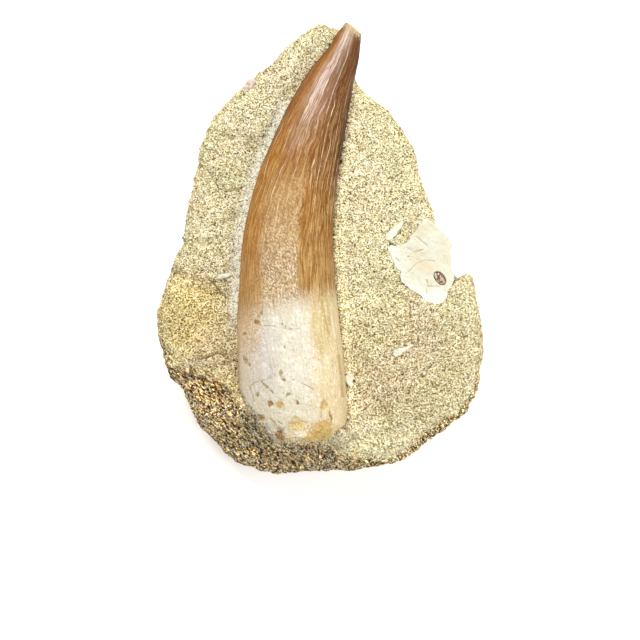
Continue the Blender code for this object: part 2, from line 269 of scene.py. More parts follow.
ROOT_CRACKS = [
    [(-9.0, -11.2), (-8.1, -11.5), (-7.0, -11.5), (-5.8, -11.7), (-4.8, -12.0), (-3.0, -11.95)],
    [(-4.5, -19.2), (-3.7, -19.4), (-2.5, -20.0), (-1.4, -20.5), (-0.9, -20.9)],
    [(-6.5, -18.8), (-7.9, -19.4), (-9.7, -19.9), (-10.4, -20.6), (-10.0, -21.6), (-9.7, -22.7)],
    [(-6.5, -26.2), (-5.6, -27.1), (-5.3, -28.5)], [(-6.3, -25.5), (-5.5, -26.0)],
    [(-9.7, -25.4), (-8.6, -26.8), (-7.6, -27.9)], [(-8.0, -26.0), (-7.0, -27.3)],
    [(-10.6, -23.3), (-9.9, -24.4)], [(0.2, -23.7), (0.15, -25.1)],
]


def distance_to_line(points, corners):
    """How far each point is from a bent line, seen from above."""
    nearest = np.full(len(points), np.inf)
    for start, end in zip(np.array(corners[:-1]), np.array(corners[1:]), strict=True):
        run = end - start
        offset = points[:, :2] - start
        part = np.clip(offset @ run / (run @ run), 0, 1)
        nearest = np.minimum(nearest, np.linalg.norm(offset - part[:, None] * run, axis=1))
    return nearest


def ragged(points, wide):
    """The same points pushed about sideways, which gives whatever is drawn on them a torn edge."""
    moved = points.copy()
    for axis, seed in ((0, 3.1), (1, 17.7)):
        moved[:, axis] += wide * swell(points, 0.9, seed) + 0.6 * wide * swell(points, 0.35, seed)
    return moved


def in_stains(points, kinds):
    """How strongly each point is stained, 1 within a stain, and how deep its surface has flaked."""
    strength, depth = np.zeros(len(points)), np.zeros(len(points))
    for x, y, wide, long, turn, deep in (stain for kind in kinds for stain in STAINS[kind]):
        cosine, sine = math.cos(math.radians(turn)), math.sin(math.radians(turn))
        dx, dy = points[:, 0] - x, points[:, 1] - y
        away = np.hypot((cosine * dx + sine * dy) / wide, (cosine * dy - sine * dx) / long)
        strength = np.maximum(strength, 1 - step(0.35, 1.75, away))
        depth = np.maximum(depth, deep * (1 - step(0.80, 1.20, away)))
    return strength, depth


print("stains", {kind: len(found) for kind, found in STAINS.items()}, "cracks", len(ROOT_CRACKS))

# %% Roll the grid up
CAP = 0.05  # share of the grid's length that closes each broken end

bpy.ops.mesh.primitive_grid_add(x_subdivisions=AROUND, y_subdivisions=ALONG, size=2)
tooth = bpy.context.object
tooth.name = tooth.data.name = "fossil_tooth"
flat = places(tooth) * MM
turn = (flat[:, 0] + 1) / 2
angle = -math.pi / 2 + math.tau * turn + 0.5 * np.sin(math.tau * turn)  # closer columns on top
along = (flat[:, 1] + 1) / 2
share = np.clip((along - CAP) / (1 - 2 * CAP), 0, 1)
inner = np.clip(np.minimum(along, 1 - along) / CAP, 0, 1)  # 0 in the middle of an end, 1 at its rim
print("grid", len(flat), "vertices")

# %% [markdown]
# The ridges are numbered around the tooth. Noise of three sizes lets them waver, and each has luck
# of its own that lets it start and stop. They are strongest on the upper crown, and they end where
# the enamel ends. The rolled grid is then laid along the tooth's line, and last the root is flaked.

# %% Fold the enamel into ridges
RIDGES = 34
RIDGE_HEIGHT, GROOVE_DEPTH = 0.10, 0.02
RIDGE_WIDTH = 0.14  # in ridge spacings
around = np.stack([np.cos(angle), np.sin(angle), share * 0], axis=1)


def waver(across, along_it, seed):
    """Noise with so many swellings across and along the tooth."""
    return swell(around * across + share[:, None] * (0, 0, along_it), 1.0, seed)


wander = 0.60 * waver(1.3, 7.0, 0.0) + 0.34 * waver(3.4, 20.0, 7.3) + 0.12 * waver(6.0, 60.0, 2.6)
phase = angle / math.tau * RIDGES + wander
number = np.round(phase)
luck = swell(np.stack([number * 1.37, share * 13.0, share * 0], axis=1), 1.0)
lasting = step(-0.30, 0.25, luck) * (0.40 + 0.60 * np.sin(number * 2.4) ** 2)
crest = np.exp(-(((phase - number) / RIDGE_WIDTH) ** 2)) * lasting
enamel = step(0.33, 0.50, share + 0.012 * np.cos(angle))
strength = enamel * (1 - 0.30 * step(0.90, 1.0, share)) * (0.45 + 0.55 * step(0.50, 0.68, share))
quiet = 1 - 0.65 * step(0.1, -0.2, np.cos(angle)) * step(0.66, 0.76, share)
ridge_rise = (RIDGE_HEIGHT * crest - GROOVE_DEPTH) * strength * quiet
print("ridges", RIDGES, "highest", round(float(ridge_rise.max()), 3), "mm")

# %% Bend and round the tooth
line = tooth_line(share)
way = tooth_line(share + 0.01)[:, :3] - tooth_line(share - 0.01)[:, :3]
way[:, 0] *= step(-0.1, 0.25, share)  # the broken end stays square to the tooth
way /= np.linalg.norm(way, axis=1)[:, None]
across = np.cross(way, (0, 0, 1))
across /= np.linalg.norm(across, axis=1)[:, None]
up = np.cross(across, way)
half = line[:, 3]
rim = inner ** 0.8
swollen_end = 1.2 * step(-25.0, -28.3, line[:, 1]) * np.clip(np.sin(angle), 0, 1)
thick = half * FLATNESS + swollen_end
skin = line[:, :3] + across * ((half + ridge_rise) * rim * np.cos(angle))[:, None] \
    + up * ((thick + ridge_rise) * rim * np.sin(angle))[:, None]
print("tooth from", skin.min(0).round(1), "to", skin.max(0).round(1))

# %% Flake and crack the root
CRACK_DEPTH = CRACK_WIDTH = 0.09
slow = 0.12 * swell(skin, 7.0) + 0.06 * swell(skin, 2.2, 5.0)
outwards = across * np.cos(angle)[:, None] + up * np.sin(angle)[:, None]
on_top = step(15.0, 16.0, skin[:, 2])
flaked = in_stains(ragged(skin, 0.30), STAINS)[1] * on_top
torn = ragged(skin, 0.12)
for corners in ROOT_CRACKS:
    away = distance_to_line(torn, corners)
    flaked = np.maximum(flaked, CRACK_DEPTH * np.exp(-(away / CRACK_WIDTH) ** 2) * on_top)
skin += outwards * ((slow - flaked) * rim)[:, None]
print("deepest flake", round(float(flaked.max()), 2), "mm")

# %% [markdown]
# Three breaks follow. Noise makes the root's end crumbly, a slanting cut takes its lower left
# corner off, and the tip is worn down on a slant. What a vertex has passed through is kept as an
# attribute of the mesh, so that the material can tint the broken rim, the stains and the ridges.

# %% Break the root's end and wear the tip
ends = np.where(along < 0.5, -1.0, 1.0) * (1 - inner ** 2)
rough = 0.30 * swell(skin, 1.6, 3.0) + 0.25 * swell(skin, 0.6, 9.0)
at_root = step(-25.5, -28.5, skin[:, 1])
skin[:, 1] += ends * 0.15 + at_root * (1.00 + 1.2 * rough)
beyond_cut = (skin[:, 0] + 11.2) * -0.80 + (skin[:, 1] + 23.0) * -0.60 \
    + 0.30 * swell(skin, 1.1, 6.0) + 0.20 * swell(skin, 0.4, 2.0)
skin[:, :2] += np.clip(beyond_cut, 0, 2.6)[:, None] * (0.80, 0.60)
tip_slant = (1 - step(0.0, 2.4, 33.3 - skin[:, 1])) * (skin[:, 0] - 4.6)
skin[:, 1] -= 0.45 * np.clip(tip_slant, -0.4, 2.0)
put(tooth, skin)
print("corner broken off:", int((beyond_cut > 0).sum()), "vertices moved")

# %% What the tooth's material will need
TOOTH_LENGTH = 64.0
remember(tooth, "lasting", lasting * strength * quiet)
remember(tooth, "fringe", np.maximum(step(-1.3, 0.2, beyond_cut), step(-28.0, -29.0, skin[:, 1])))
remember(tooth, "side", np.cos(angle))
remember(tooth, "ridge", phase)
remember(tooth, "length", share * TOOTH_LENGTH)  # in millimetres
torn = ragged(skin, 0.22)
for kind in STAINS:
    remember(tooth, kind, in_stains(torn, (kind,))[0] * step(14.6, 15.4, skin[:, 2]))
tooth.data.uv_layers[0].name = "OFBake"
weld(tooth, 0.001)
bpy.ops.object.shade_smooth()
print("tooth", triangles(tooth), "triangles")

# %% [markdown]
# ## The bone plate and its nodule
#
# A flat piece of pale bone is let into the right edge of the rock. Its outline is ragged, and fine
# cracks cross it. In a small pit sits a dark oval nodule of phosphate.
#
# The outline is drawn as a filled circle whose corners are moved, then extruded to its thickness.
# A voxel remesh turns it into an even net, fine enough to press the cracks and the pit into it.

# %% The outline of the bone plate
BONE_OUTLINE = [
    (15.5, 4.3), (16.8, 4.3), (17.7, 3.2), (19.5, 1.6), (19.8, 0.4), (19.6, -0.6),
    (19.8, -1.8), (19.6, -2.9), (20.2, -4.7), (19.4, -6.6), (18.7, -8.0), (17.4, -8.45),
    (16.2, -8.0), (15.1, -7.1), (13.6, -6.1), (12.1, -4.9), (12.2, -3.5), (11.2, -2.8),
    (10.8, -1.3), (10.1, 0.2), (12.3, 0.7), (13.1, 1.0), (14.2, 2.5),
]
BONE_LOW, BONE_TOP = 12.2, 14.25


def slab_from(name, outline, low, high):
    """A flat slab with this outline, drawn as a filled circle that is bent and extruded."""
    bpy.ops.mesh.primitive_circle_add(vertices=len(outline), radius=1, fill_type="NGON")
    slab = bpy.context.object
    slab.name = slab.data.name = name
    for vertex, (x, y) in zip(slab.data.vertices, outline, strict=True):
        vertex.co = Vector((x, y, low)) * MM
    slab.data.update()
    bpy.ops.object.mode_set(mode="EDIT")
    bpy.ops.mesh.select_all(action="SELECT")
    bpy.ops.mesh.extrude_region_move(TRANSFORM_OT_translate={"value": (0, 0, (high - low) * MM)})
    bpy.ops.mesh.select_all(action="SELECT")
    bpy.ops.mesh.normals_make_consistent(inside=False)
    bpy.ops.object.mode_set(mode="OBJECT")
    return slab


plate = slab_from("bone_plate_worn", BONE_OUTLINE, BONE_LOW, BONE_TOP)
modify(plate, "REMESH", mode="VOXEL", voxel_size=0.11 * MM)
modify(plate, "SMOOTH", factor=0.5, iterations=4)
print("plate net", len(plate.data.vertices), "vertices")

# %% Crack the plate, tear its edge and press the pit
BONE_CRACKS = [
    [(14.4, 1.95), (16.1, 0.55)],
    [(13.05, -3.6), (14.0, -2.7), (14.55, -2.15), (15.8, -1.7), (17.15, -1.8)],
    [(16.0, -4.6), (16.25, -5.6), (16.9, -5.65), (17.9, -5.6)],
    [(15.9, -6.0), (16.1, -6.8)],
    [(11.4, -1.3), (11.9, -1.85)],
    [(13.0, 0.2), (14.2, -0.4), (15.4, -0.1)],
]
BONE_CRACK_DEPTH, PIT_DEPTH = 0.12, 0.8
NODULE_MIDDLE = (18.0, -4.4)
NODULE_HALF = (1.15, 0.64, 0.5)
NODULE_TURN = math.radians(-52)
cosine, sine = math.cos(NODULE_TURN), math.sin(NODULE_TURN)

spot = places(plate)
facing = normals(plate)
top_side = step(13.6, 13.9, spot[:, 2])
bent = spot + 0.18 * swell(spot, 0.8)[:, None]
width = 0.07 + 0.03 * swell(spot, 0.5)
cracked = np.zeros(len(spot))
for corners in BONE_CRACKS:
    cracked = np.maximum(cracked, np.exp(-(distance_to_line(bent, corners) / width) ** 2))
turned = (spot[:, :2] - NODULE_MIDDLE) @ np.array([(cosine, -sine), (sine, cosine)])
in_pit = np.hypot(turned[:, 0] / (NODULE_HALF[0] + 0.10), turned[:, 1] / (NODULE_HALF[1] + 0.10))
edge = 0.26 * swell(spot, 1.1) + 0.30 * swell(spot, 0.5, 4.0)
spot += facing * (edge * (1 - abs(facing[:, 2])))[:, None]
spot[:, 2] += top_side * (0.10 * swell(spot, 2.5) + 0.05 * swell(spot, 0.7)
                          - BONE_CRACK_DEPTH * cracked - PIT_DEPTH * (1 - step(0.85, 1.0, in_pit)))
put(plate, spot)
remember(plate, "pit", (1 - step(0.8, 1.15, in_pit)) * top_side)
bpy.ops.object.shade_smooth()
print("bone plate", triangles(plate), "triangles")

# %% [markdown]
# ## Splinters and the nodule
#
# Small bits of bone and shell lie in the face of the rock, flush with it. Each has an outline like
# a torn scrap, so it is made the same way as the plate. The nodule is a ball that is stretched,
# turned and dented by noise.

# %% Splinters
SHELL_FLAKE = "flake_on_left_edge"
SPLINTERS = {
    "upper_bone_sliver": [
        (9.8, 1.9), (10.3, 2.5), (10.8, 3.1), (11.4, 3.6), (12.0, 4.1), (12.5, 4.2),
        (12.4, 3.7), (12.0, 3.0), (11.5, 2.3), (10.9, 1.7), (10.4, 1.35), (9.9, 1.4)],
    "lower_bone_sliver": [
        (10.95, -15.9), (11.1, -15.3), (11.8, -14.95), (12.5, -14.9), (13.2, -14.6), (13.8, -14.3),
        (14.1, -14.4), (13.6, -14.8), (13.0, -15.2), (12.5, -15.5), (12.0, -16.0), (11.4, -16.3)],
    "bone_chip_beside_root": [
        (3.75, -19.3), (4.1, -18.8), (4.8, -18.7), (5.15, -19.1), (5.25, -19.8), (5.0, -20.5),
        (4.6, -20.7), (4.1, -20.3), (3.8, -19.8)],
    "bone_splinter_beside_crown": [
        (-15.5, -4.4), (-15.1, -4.0), (-14.6, -3.75), (-13.9, -3.65), (-13.4, -3.7),
        (-13.0, -3.9), (-13.6, -4.2), (-14.2, -4.35), (-14.9, -4.6)],
    SHELL_FLAKE: [
        (-10.9, 25.3), (-10.3, 25.5), (-9.7, 25.4), (-9.6, 25.0), (-9.9, 24.6), (-10.3, 24.2),
        (-10.7, 23.8), (-11.2, 23.5), (-11.5, 23.6), (-11.4, 24.2), (-11.2, 24.8)],
}
THICKEST = 1.4
BELOW_TOP = 0.15  # noise lifts the scrap's face by about as much


def torn_scrap(name, outline, low, high):
    """A thin scrap with this outline and torn, slightly rounded edges."""
    scrap = slab_from(name, outline, low, high)
    modify(scrap, "REMESH", mode="VOXEL", voxel_size=0.08 * MM)
    modify(scrap, "SMOOTH", factor=0.5, iterations=3)
    point = places(scrap)
    point += normals(scrap) * (0.16 * swell(point, 0.9) + 0.10 * swell(point, 0.35))[:, None]
    put(scrap, point)
    bpy.ops.object.shade_smooth()
    return scrap


splinters = {}
for node, outline in SPLINTERS.items():
    low, high = (corner[2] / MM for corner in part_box(node))
    splinters[node] = torn_scrap(node + "_torn", outline, max(low, high - THICKEST), high - BELOW_TOP)
print("splinters", [triangles(piece) for piece in splinters.values()])

# %% The nodule
NODULE_SUNK = 0.36
bpy.ops.mesh.primitive_ico_sphere_add(subdivisions=5, radius=1)
nodule = bpy.context.object
nodule.name = nodule.data.name = "nodule_polished"
ball = places(nodule) * MM
ball *= (1 - 0.12 * np.abs(swell(ball + 5.0, 0.9)))[:, None] * np.array(NODULE_HALF)
middle = (*NODULE_MIDDLE, BONE_TOP - NODULE_SUNK)
put(nodule, ball @ np.array([(cosine, sine, 0), (-sine, cosine, 0), (0, 0, 1)]) + middle)
bpy.ops.object.shade_smooth()
print("nodule", triangles(nodule), "triangles")

# %% [markdown]
# ## The rock
#
# The rock is packed sand. From a hand's width away it is a lumpy face with ledges and pits; closer
# up every bit of it is grains. The plain model already has the lumps and ledges as flat facets.
#
# So the rock starts as a copy of the plain lump. A voxel remesh lays an even net over it, and
# smoothing takes the facets' edges away. Then the surface is moved in and out by noise of several
# sizes, down to single coarse grains. A subdivision would keep the facets' shapes, which is why a
# remesh is used instead.

# %% Copy the plain lump and lay a fine net over it
def copy_of(node, name):
    """A copy of this plain piece that can be changed freely."""
    copied = nodes[node].copy()
    copied.data = nodes[node].data.copy()
    copied.name = copied.data.name = name
    bpy.context.scene.collection.objects.link(copied)
    copied.parent = None
    return copied


rock = copy_of("matrix_rock", "rock_lump")
weld(rock, 0.002)
modify(rock, "REMESH", mode="VOXEL", voxel_size=0.275 * MM)
modify(rock, "SMOOTH", factor=0.5, iterations=8)
print("rock net", len(rock.data.vertices), "vertices")

# %% [markdown]
# The plain pieces keep a small gap all round, and the rock has to close it, as real rock does. Each
# vertex of the rock near an embedded piece is drawn just inside that piece's surface. A search tree
# finds the nearest point of a surface quickly.

# %% Tools that draw the rock to a surface
def surface_of(*objects):
    """A search tree over the faces of these objects."""
    points, faces = [], []
    for obj in objects:
        start = len(points)
        points += [vertex.co / MM for vertex in obj.data.vertices]
        faces += [[start + i for i in face.vertices] for face in obj.data.polygons]
    return BVHTree.FromPolygons(points, faces)


def draw_in(points, tree, full, none, inside):
    """Moves points nearer than none to the surface, and those nearer than full right into it."""
    away = np.full(len(points), np.inf)
    for i, point in enumerate(points.tolist()):
        hit, out, _, near = tree.find_nearest(point, none)
        if hit is None:
            continue
        away[i] = near
        target = np.array(hit) - np.array(out) * inside
        points[i] += (target - points[i]) * (1 - step(full, none, near))
    return away


spot = places(rock)
smooth_facing = normals(rock)
tooth_tree = surface_of(tooth)
other_tree = surface_of(plate, *splinters.values())
to_tooth = draw_in(spot, tooth_tree, 0.6, 1.0, 0.12)
print("closed around the tooth:", int((to_tooth < 0.6).sum()), "vertices")

# %% [markdown]
# The broken end of the root is crumbled and has lost a corner, so it ends a little short of the
# plain tooth. There the gap is wider. Each vertex of the rock around that end moves by as much as
# the two surfaces differ, less and less further away, and the rock rises to a rim around the break.

# %% Close the rock around the root's broken end
SEARCH = 7.0
RIM_TOP = 17.0
plain_tree = surface_of(nodes["tooth"])


def near_broken_end(points):
    """Numbers of the vertices around the root's broken end and its missing corner."""
    x, y, z = points.T
    beyond = (y < -27.5) | ((y < -22.0) & (x < -6.5))
    return np.flatnonzero(beyond & (z > 8.0) & (y > -34.0) & (abs(x + 4) < 12)).tolist()


for i in near_broken_end(spot):
    hit, out, _, near = tooth_tree.find_nearest(spot[i].tolist(), SEARCH)
    from_plain = plain_tree.find_nearest(spot[i].tolist(), SEARCH)[3]
    if hit is None or from_plain is None:
        continue
    move = min(max(near - from_plain + 0.4, 0.0) * (1 - step(0.3, 3.5, from_plain)), near)
    spot[i] += (np.array(hit) - np.array(out) * 0.12 - spot[i]) * move / max(near, 0.01)
    if smooth_facing[i, 2] > 0.25:
        spot[i, 2] += max(RIM_TOP - spot[i, 2], 0.0) * (1 - step(0.0, 3.4, near - move)) ** 1.3
to_others = draw_in(spot, other_tree, 0.35, 0.6, 0.10)
draw_in(spot, surface_of(*splinters.values()), 0.8, 1.2, 0.10)
put(rock, spot)
print("closed around the bone and the splinters:", int((to_others < 0.35).sum()), "vertices")

# %% [markdown]
# A groove was scraped along the left side of the tooth when the tooth was freed. It is smooth and
# pale with rock dust. A mask says how far each point lies in it. Kept as a vertex group, the mask
# lets a Smooth modifier work in the groove alone.

# %% Smooth the scraped groove
GROOVE_TOP = 14.45


def beside_crown(points, upper_end=22.0):
    """1 in the strip along the tooth's left side that was scraped free, 0 elsewhere."""
    away = np.full(len(points), 9.0)
    for i, point in enumerate(points.tolist()):
        near = tooth_tree.find_nearest(point, 3.0)[3]
        away[i] = 9.0 if near is None else near
    x, y = points[:, 0], points[:, 1]
    left = (x < across_tooth(y)) * step(-13.5, -9.0, y) \
        * (1 - step(upper_end - 2, upper_end + 2, y))
    return left * (1 - step(0.8, 2.1, away + 0.5 * swell(points, 1.2)))


dust = beside_crown(spot)
group = rock.vertex_groups.new(name="scraped")
for i in np.flatnonzero(dust > 0.02).tolist():
    group.add([i], float(dust[i]), "REPLACE")
spot = places(rock)
lift = beside_crown(spot, 31.0)
spot[:, 2] += lift * np.clip(GROOVE_TOP - spot[:, 2], 0, 1.6) * (spot[:, 2] > 12.2)
put(rock, spot)
modify(rock, "SMOOTH", factor=1.0, iterations=12, vertex_group="scraped")
spot = places(rock)
draw_in(spot, tooth_tree, 0.40, 0.7, 0.12)
put(rock, spot)
print("scraped:", int((dust > 0.5).sum()), "vertices")

# %% [markdown]
# Below the root and at the lower left the lump broke off in a long slope, which is rough, crumbly
# and brown. Its upper edge is drawn as a bent line, and noise makes it wavy. The same mask serves
# the relief, the colour and the crumbs that lie on the slope.

# %% The broken slope
SLOPE_EDGE = np.array([
    (-24, -18.3), (-20, -18.6), (-16, -20.0), (-13, -22.0), (-10.5, -24.8), (-8.5, -26.6),
    (-6, -28.2), (-0.9, -28.9), (1.5, -29.8), (4, -31.3), (9, -32.6), (14, -36),
])


def on_flank(points):
    """1 on the broken slope at the root's end and lower left, 0 on the flat face."""
    upper_edge = np.interp(points[:, 0], SLOPE_EDGE[:, 0], SLOPE_EDGE[:, 1])
    wavy = 0.9 * swell(points, 1.7) + 3.0 * swell(points, 5.0, 3.0) * step(13.0, 10.0, points[:, 2])
    return step(-0.9, 1.1, upper_edge - points[:, 1] + wavy)


print("upper edge of the slope:", len(SLOPE_EDGE), "points")

# %% [markdown]
# Open cracks cross the face, and a few small lumps stand out of it. Both are short lists: bent
# lines with their depth, and round swellings with their half width and height.

# %% Cracks and lumps of the face
ROCK_CRACKS = [
    ([(-17.2, 15.0), (-16.0, 14.8), (-14.8, 13.8)], 0.12),
    ([(-18.4, 12.7), (-17.2, 12.4), (-16.3, 11.0), (-15.2, 9.1), (-14.1, 8.6), (-12.4, 8.9),
      (-10.7, 9.8)], 0.12),
    ([(-16.6, -4.7), (-15.8, -5.3), (-14.7, -6.8), (-13.9, -7.5)], 0.35),
    ([(-16.0, -4.9), (-13.3, -4.9)], 0.22),
    ([(-18.2, -16.7), (-16.6, -16.2), (-15.2, -15.6), (-13.6, -16.6), (-12.4, -16.9)], 0.40),
    ([(-22.8, -18.0), (-20.4, -19.0), (-17.4, -19.7), (-15.3, -20.5)], 0.45),
    ([(-23.4, -15.0), (-22.2, -16.0)], 0.30),
    ([(-14.0, -22.0), (-12.2, -24.2), (-10.0, -26.5), (-8.2, -28.9)], 0.35),
    ([(-6.5, -29.2), (-3.0, -29.6), (-1.0, -29.9), (2.2, -31.0)], 0.40),
    ([(-12.0, -30.0), (-8.0, -31.5), (-4.0, -32.0)], 0.40),
    ([(11.7, -15.9), (14.2, -16.3)], 0.25),
]
SWELLINGS = [
    (-10.1, 22.0, 1.3, 0.35), (-15.6, 19.6, 1.0, 0.25),
    (7.0, -10.6, 0.7, 0.30), (-16.3, 12.4, 0.8, 0.25),
]
print("cracks", len(ROCK_CRACKS), "lumps", len(SWELLINGS))

# %% [markdown]
# The face is firm and the steep sides are broken, most of all towards the root's end. One detail of
# the outline is put right first: seen from above, the upper side of the rock's horn at the right
# slants down to the bone plate.

# %% Where the rock is broken
in_notch = (spot[:, 0] - 19.8) * -0.58 + (spot[:, 1] + 5.4) * 0.81
in_notch = np.clip(in_notch, 0, 2.0) * step(19.3, 19.9, spot[:, 0]) * step(-2.6, -3.2, spot[:, 1])
spot[:, :2] -= in_notch[:, None] * (-0.58, 0.81)
facing = normals(rock)
wavy = swell(spot, 4.0, 2.0)
broken = step(0.93, 0.72, smooth_facing[:, 2]) * step(1.0, 6.5, spot[:, 2] + 2.5 * wavy) * (1 - dust)
towards_root = spot[:, 1] + 5.0 * wavy + 0.5 * np.clip(spot[:, 0] - 8.0, 0, 16)
broken *= 0.35 + 0.65 * step(-9.0, -19.0, towards_root)
foot = on_flank(spot)
rough = np.maximum(broken, foot * (1 - dust))
print("rough:", int((rough > 0.5).sum()), "vertices")

# %% [markdown]
# Now the surface moves. Coarse noise gives lumps, and a cell pattern gives packed grains: in each
# cell the surface is highest in the middle and falls away to the joints. Where the rock is broken,
# larger crumbs stand out, drawn out along the slope. The flat back is kept flat, because the piece
# rests on it.

# %% Raise the grains and sink the cracks
CRUMB_AXES = np.array([(0.36, 0.78, 0.0), (-0.36, 0.78, 0.0), (0.0, 0.0, 0.9)])
CRACK_HALF_WIDTH = 0.20


def cells(points, size):
    """Distance to the middle of the nearest grain, in grain sizes."""
    return np.array([noise.voronoi(point)[0][0] for point in (points / size).tolist()])


crumbs = spot @ CRUMB_AXES
rise = 0.20 * swell(spot, 2.4) + 0.12 * swell(spot, 1.1, 4.0) + 0.10 * swell(spot, 0.6, 8.0)
rise += 0.14 * (0.45 - cells(spot, 0.62))
rise += rough * (0.50 * (0.5 - cells(crumbs, 0.64)) + 0.34 * swell(crumbs, 1.8, 2.0)
                 + 0.18 * swell(crumbs, 0.6, 5.0))
rock_torn = ragged(spot, 0.25)
for corners, deep in ROCK_CRACKS:
    away = distance_to_line(rock_torn, corners)
    rise -= deep * np.exp(-(away / CRACK_HALF_WIDTH) ** 2) * (spot[:, 2] > 8)
for x, y, wide, high in SWELLINGS:
    away = np.hypot(spot[:, 0] - x, spot[:, 1] - y)
    rise += high * np.exp(-(away / wide) ** 4) * (spot[:, 2] > 12)
loose = step(0.15, 1.0, spot[:, 2]) * (1 - 0.65 * dust)
spot += facing * (rise * loose)[:, None]
on_back = (spot[:, 2] < 0.2) & (facing[:, 2] < -0.5)
spot[:, 2] = np.where(on_back, 0.0, np.maximum(spot[:, 2], 0.0))
put(rock, spot)
print("relief from", round(float(rise.min()), 2), "to", round(float(rise.max()), 2), "mm")

# %% [markdown]
# The colour differs where the rock is dusty or broken. Close to the tooth's right side painted light
# brightens it, where the tooth's shadow falls. A material can't search for the nearest surface, so
# these masks are worked out here and kept on the mesh for it.

# %% What the rock's material will need
PAINTED_LIGHT_REACH = 2.6  # how far from the tooth's right side painted light brightens the rock
right_of_tooth = spot[:, 0] > across_tooth(spot[:, 1])
near = [tooth_tree.find_nearest(point, PAINTED_LIGHT_REACH)[3] or PAINTED_LIGHT_REACH if right else PAINTED_LIGHT_REACH
        for point, right in zip(spot.tolist(), right_of_tooth, strict=True)]
# Painted light: a mask that brightens the rock where the tooth's shadow falls on its right side.
beside = step(PAINTED_LIGHT_REACH, 0.3, np.array(near)) * step(13.0, 14.0, spot[:, 2])
remember(rock, "beside", beside * step(-27.0, -24.0, spot[:, 1]))
remember(rock, "dust", dust)
remember(rock, "broken", broken)
remember(rock, "foot", foot)
print("paler beside the tooth:", int((beside > 0.5).sum()), "vertices")

# %% [markdown]
# The flat back needs no fine net. Its faces are dissolved into one, and that one is cut into as few
# triangles as its outline allows.

# %% Merge the flat back into large faces
pick(rock)
bpy.ops.object.mode_set(mode="EDIT")
net = bmesh.from_edit_mesh(rock.data)
for face in net.faces:
    face.select = all(vertex.co.z < 0.001 * MM for vertex in face.verts)
net.select_flush(False)
bmesh.update_edit_mesh(rock.data)
bpy.ops.mesh.dissolve_limited(angle_limit=math.radians(1))
bpy.ops.mesh.select_all(action="SELECT")
bpy.ops.mesh.quads_convert_to_tris(quad_method="FIXED", ngon_method="CLIP")
bpy.ops.object.mode_set(mode="OBJECT")
print("rock", triangles(rock), "triangles")

# %% [markdown]
# A map for the rock's colours: the face is laid out flat as seen from above, the sides fold out
# around it, and the back has a place of its own.

# %% Lay the rock's surface out flat
MAP_WIDTH = 150.0  # millimetres that the whole map covers
FACE_PLACE, BACK_PLACE = (45.0, 55.0), (122.0, 40.0)  # their middles on that map


def fold_out(obj):
    """Gives the lump a flat map with the sides around the face and the back beside it."""
    point = places(obj)
    corner = np.empty(len(obj.data.loops), np.int32)
    obj.data.loops.foreach_get("vertex_index", corner)
    start = np.empty(len(obj.data.polygons), np.int32)
    total = np.empty(len(obj.data.polygons), np.int32)
    obj.data.polygons.foreach_get("loop_start", start)
    obj.data.polygons.foreach_get("loop_total", total)
    face = np.repeat(np.arange(len(start)), total)
    low = np.maximum.reduceat(point[corner, 2], start) < 0.002
    ring = np.maximum(np.hypot(point[:, 0], point[:, 1]), 1.0)
    out = 1 + 1.1 * np.maximum(0, 15.0 - point[:, 2]) / ring * step(0.55, 0.9, ring / 24.0)
    front = (point[:, :2] * out[:, None] + FACE_PLACE) / MAP_WIDTH
    back = (point[:, :2] + BACK_PLACE) / MAP_WIDTH
    placed = np.where(low[face][:, None], back[corner], front[corner])
    layer = obj.data.uv_layers.new(name="OFBake")
    layer.uv.foreach_set("vector", np.asarray(placed, np.float32).ravel())
    return placed.min(0), placed.max(0)


print("map reaches from and to", *fold_out(rock))

# %% [markdown]
# ## Loose grains
#
# Thousands of grains stand out of the packed sand: clear quartz, cream and ochre phosphate
# pellets, dark fish-bone crumbs. The broken slope carries crumbs of its own, which are smaller and
# drawn out down the slope. One rough pebble is modelled and copied all over the rock, each copy
# with its own size, turn and colour, and all copies are joined to a few meshes. Separate objects
# would be far too many. The grains are half sunk, so each casts its own small shadow.

# %% Choose places for the grains
rng = np.random.default_rng(11)


def random_places(obj, count):
    """Points on the mesh, spread evenly over its area, with the face normals there."""
    mesh = obj.data
    mesh.calc_loop_triangles()
    corner = np.empty(len(mesh.loop_triangles) * 3, np.int32)
    mesh.loop_triangles.foreach_get("vertices", corner)
    a, b, c = (places(obj)[corner.reshape(-1, 3)[:, i]] for i in range(3))
    cross = np.cross(b - a, c - a)
    area = np.linalg.norm(cross, axis=1)
    seen = area * (cross[:, 2] > -0.3 * area) * (np.maximum(a[:, 2], b[:, 2]) > 0.3)
    chosen = rng.choice(len(a), count, p=seen / seen.sum())
    u, v = rng.random((2, count, 1))
    flip = u + v > 1
    u, v = np.where(flip, 1 - u, u), np.where(flip, 1 - v, v)
    at = a[chosen] + u * (b[chosen] - a[chosen]) + v * (c[chosen] - a[chosen])
    return at, cross[chosen] / area[chosen][:, None]


def places_for_grains(count, smallest, largest, only_flank):
    """Places, directions and sizes of grains that keep clear of the embedded pieces."""
    at, out = random_places(rock, count * (12 if only_flank else 2))
    if only_flank:
        kept = on_flank(at) * (at[:, 2] > 4.0) > rng.random(len(at))
        at, out = at[kept], out[kept]
    size = smallest + (largest - smallest) * rng.random(len(at)) ** 3
    clear = [tooth_tree.find_nearest(place, 1.1 * radius)[0] is None
             and other_tree.find_nearest(place, 0.7 * radius)[0] is None
             for place, radius in zip(at.tolist(), size.tolist(), strict=True)]
    keep = np.flatnonzero(np.array(clear) & (rng.random(len(at)) > 0.7 * beside_crown(at)))[:count]
    return at[keep], out[keep], size[keep]


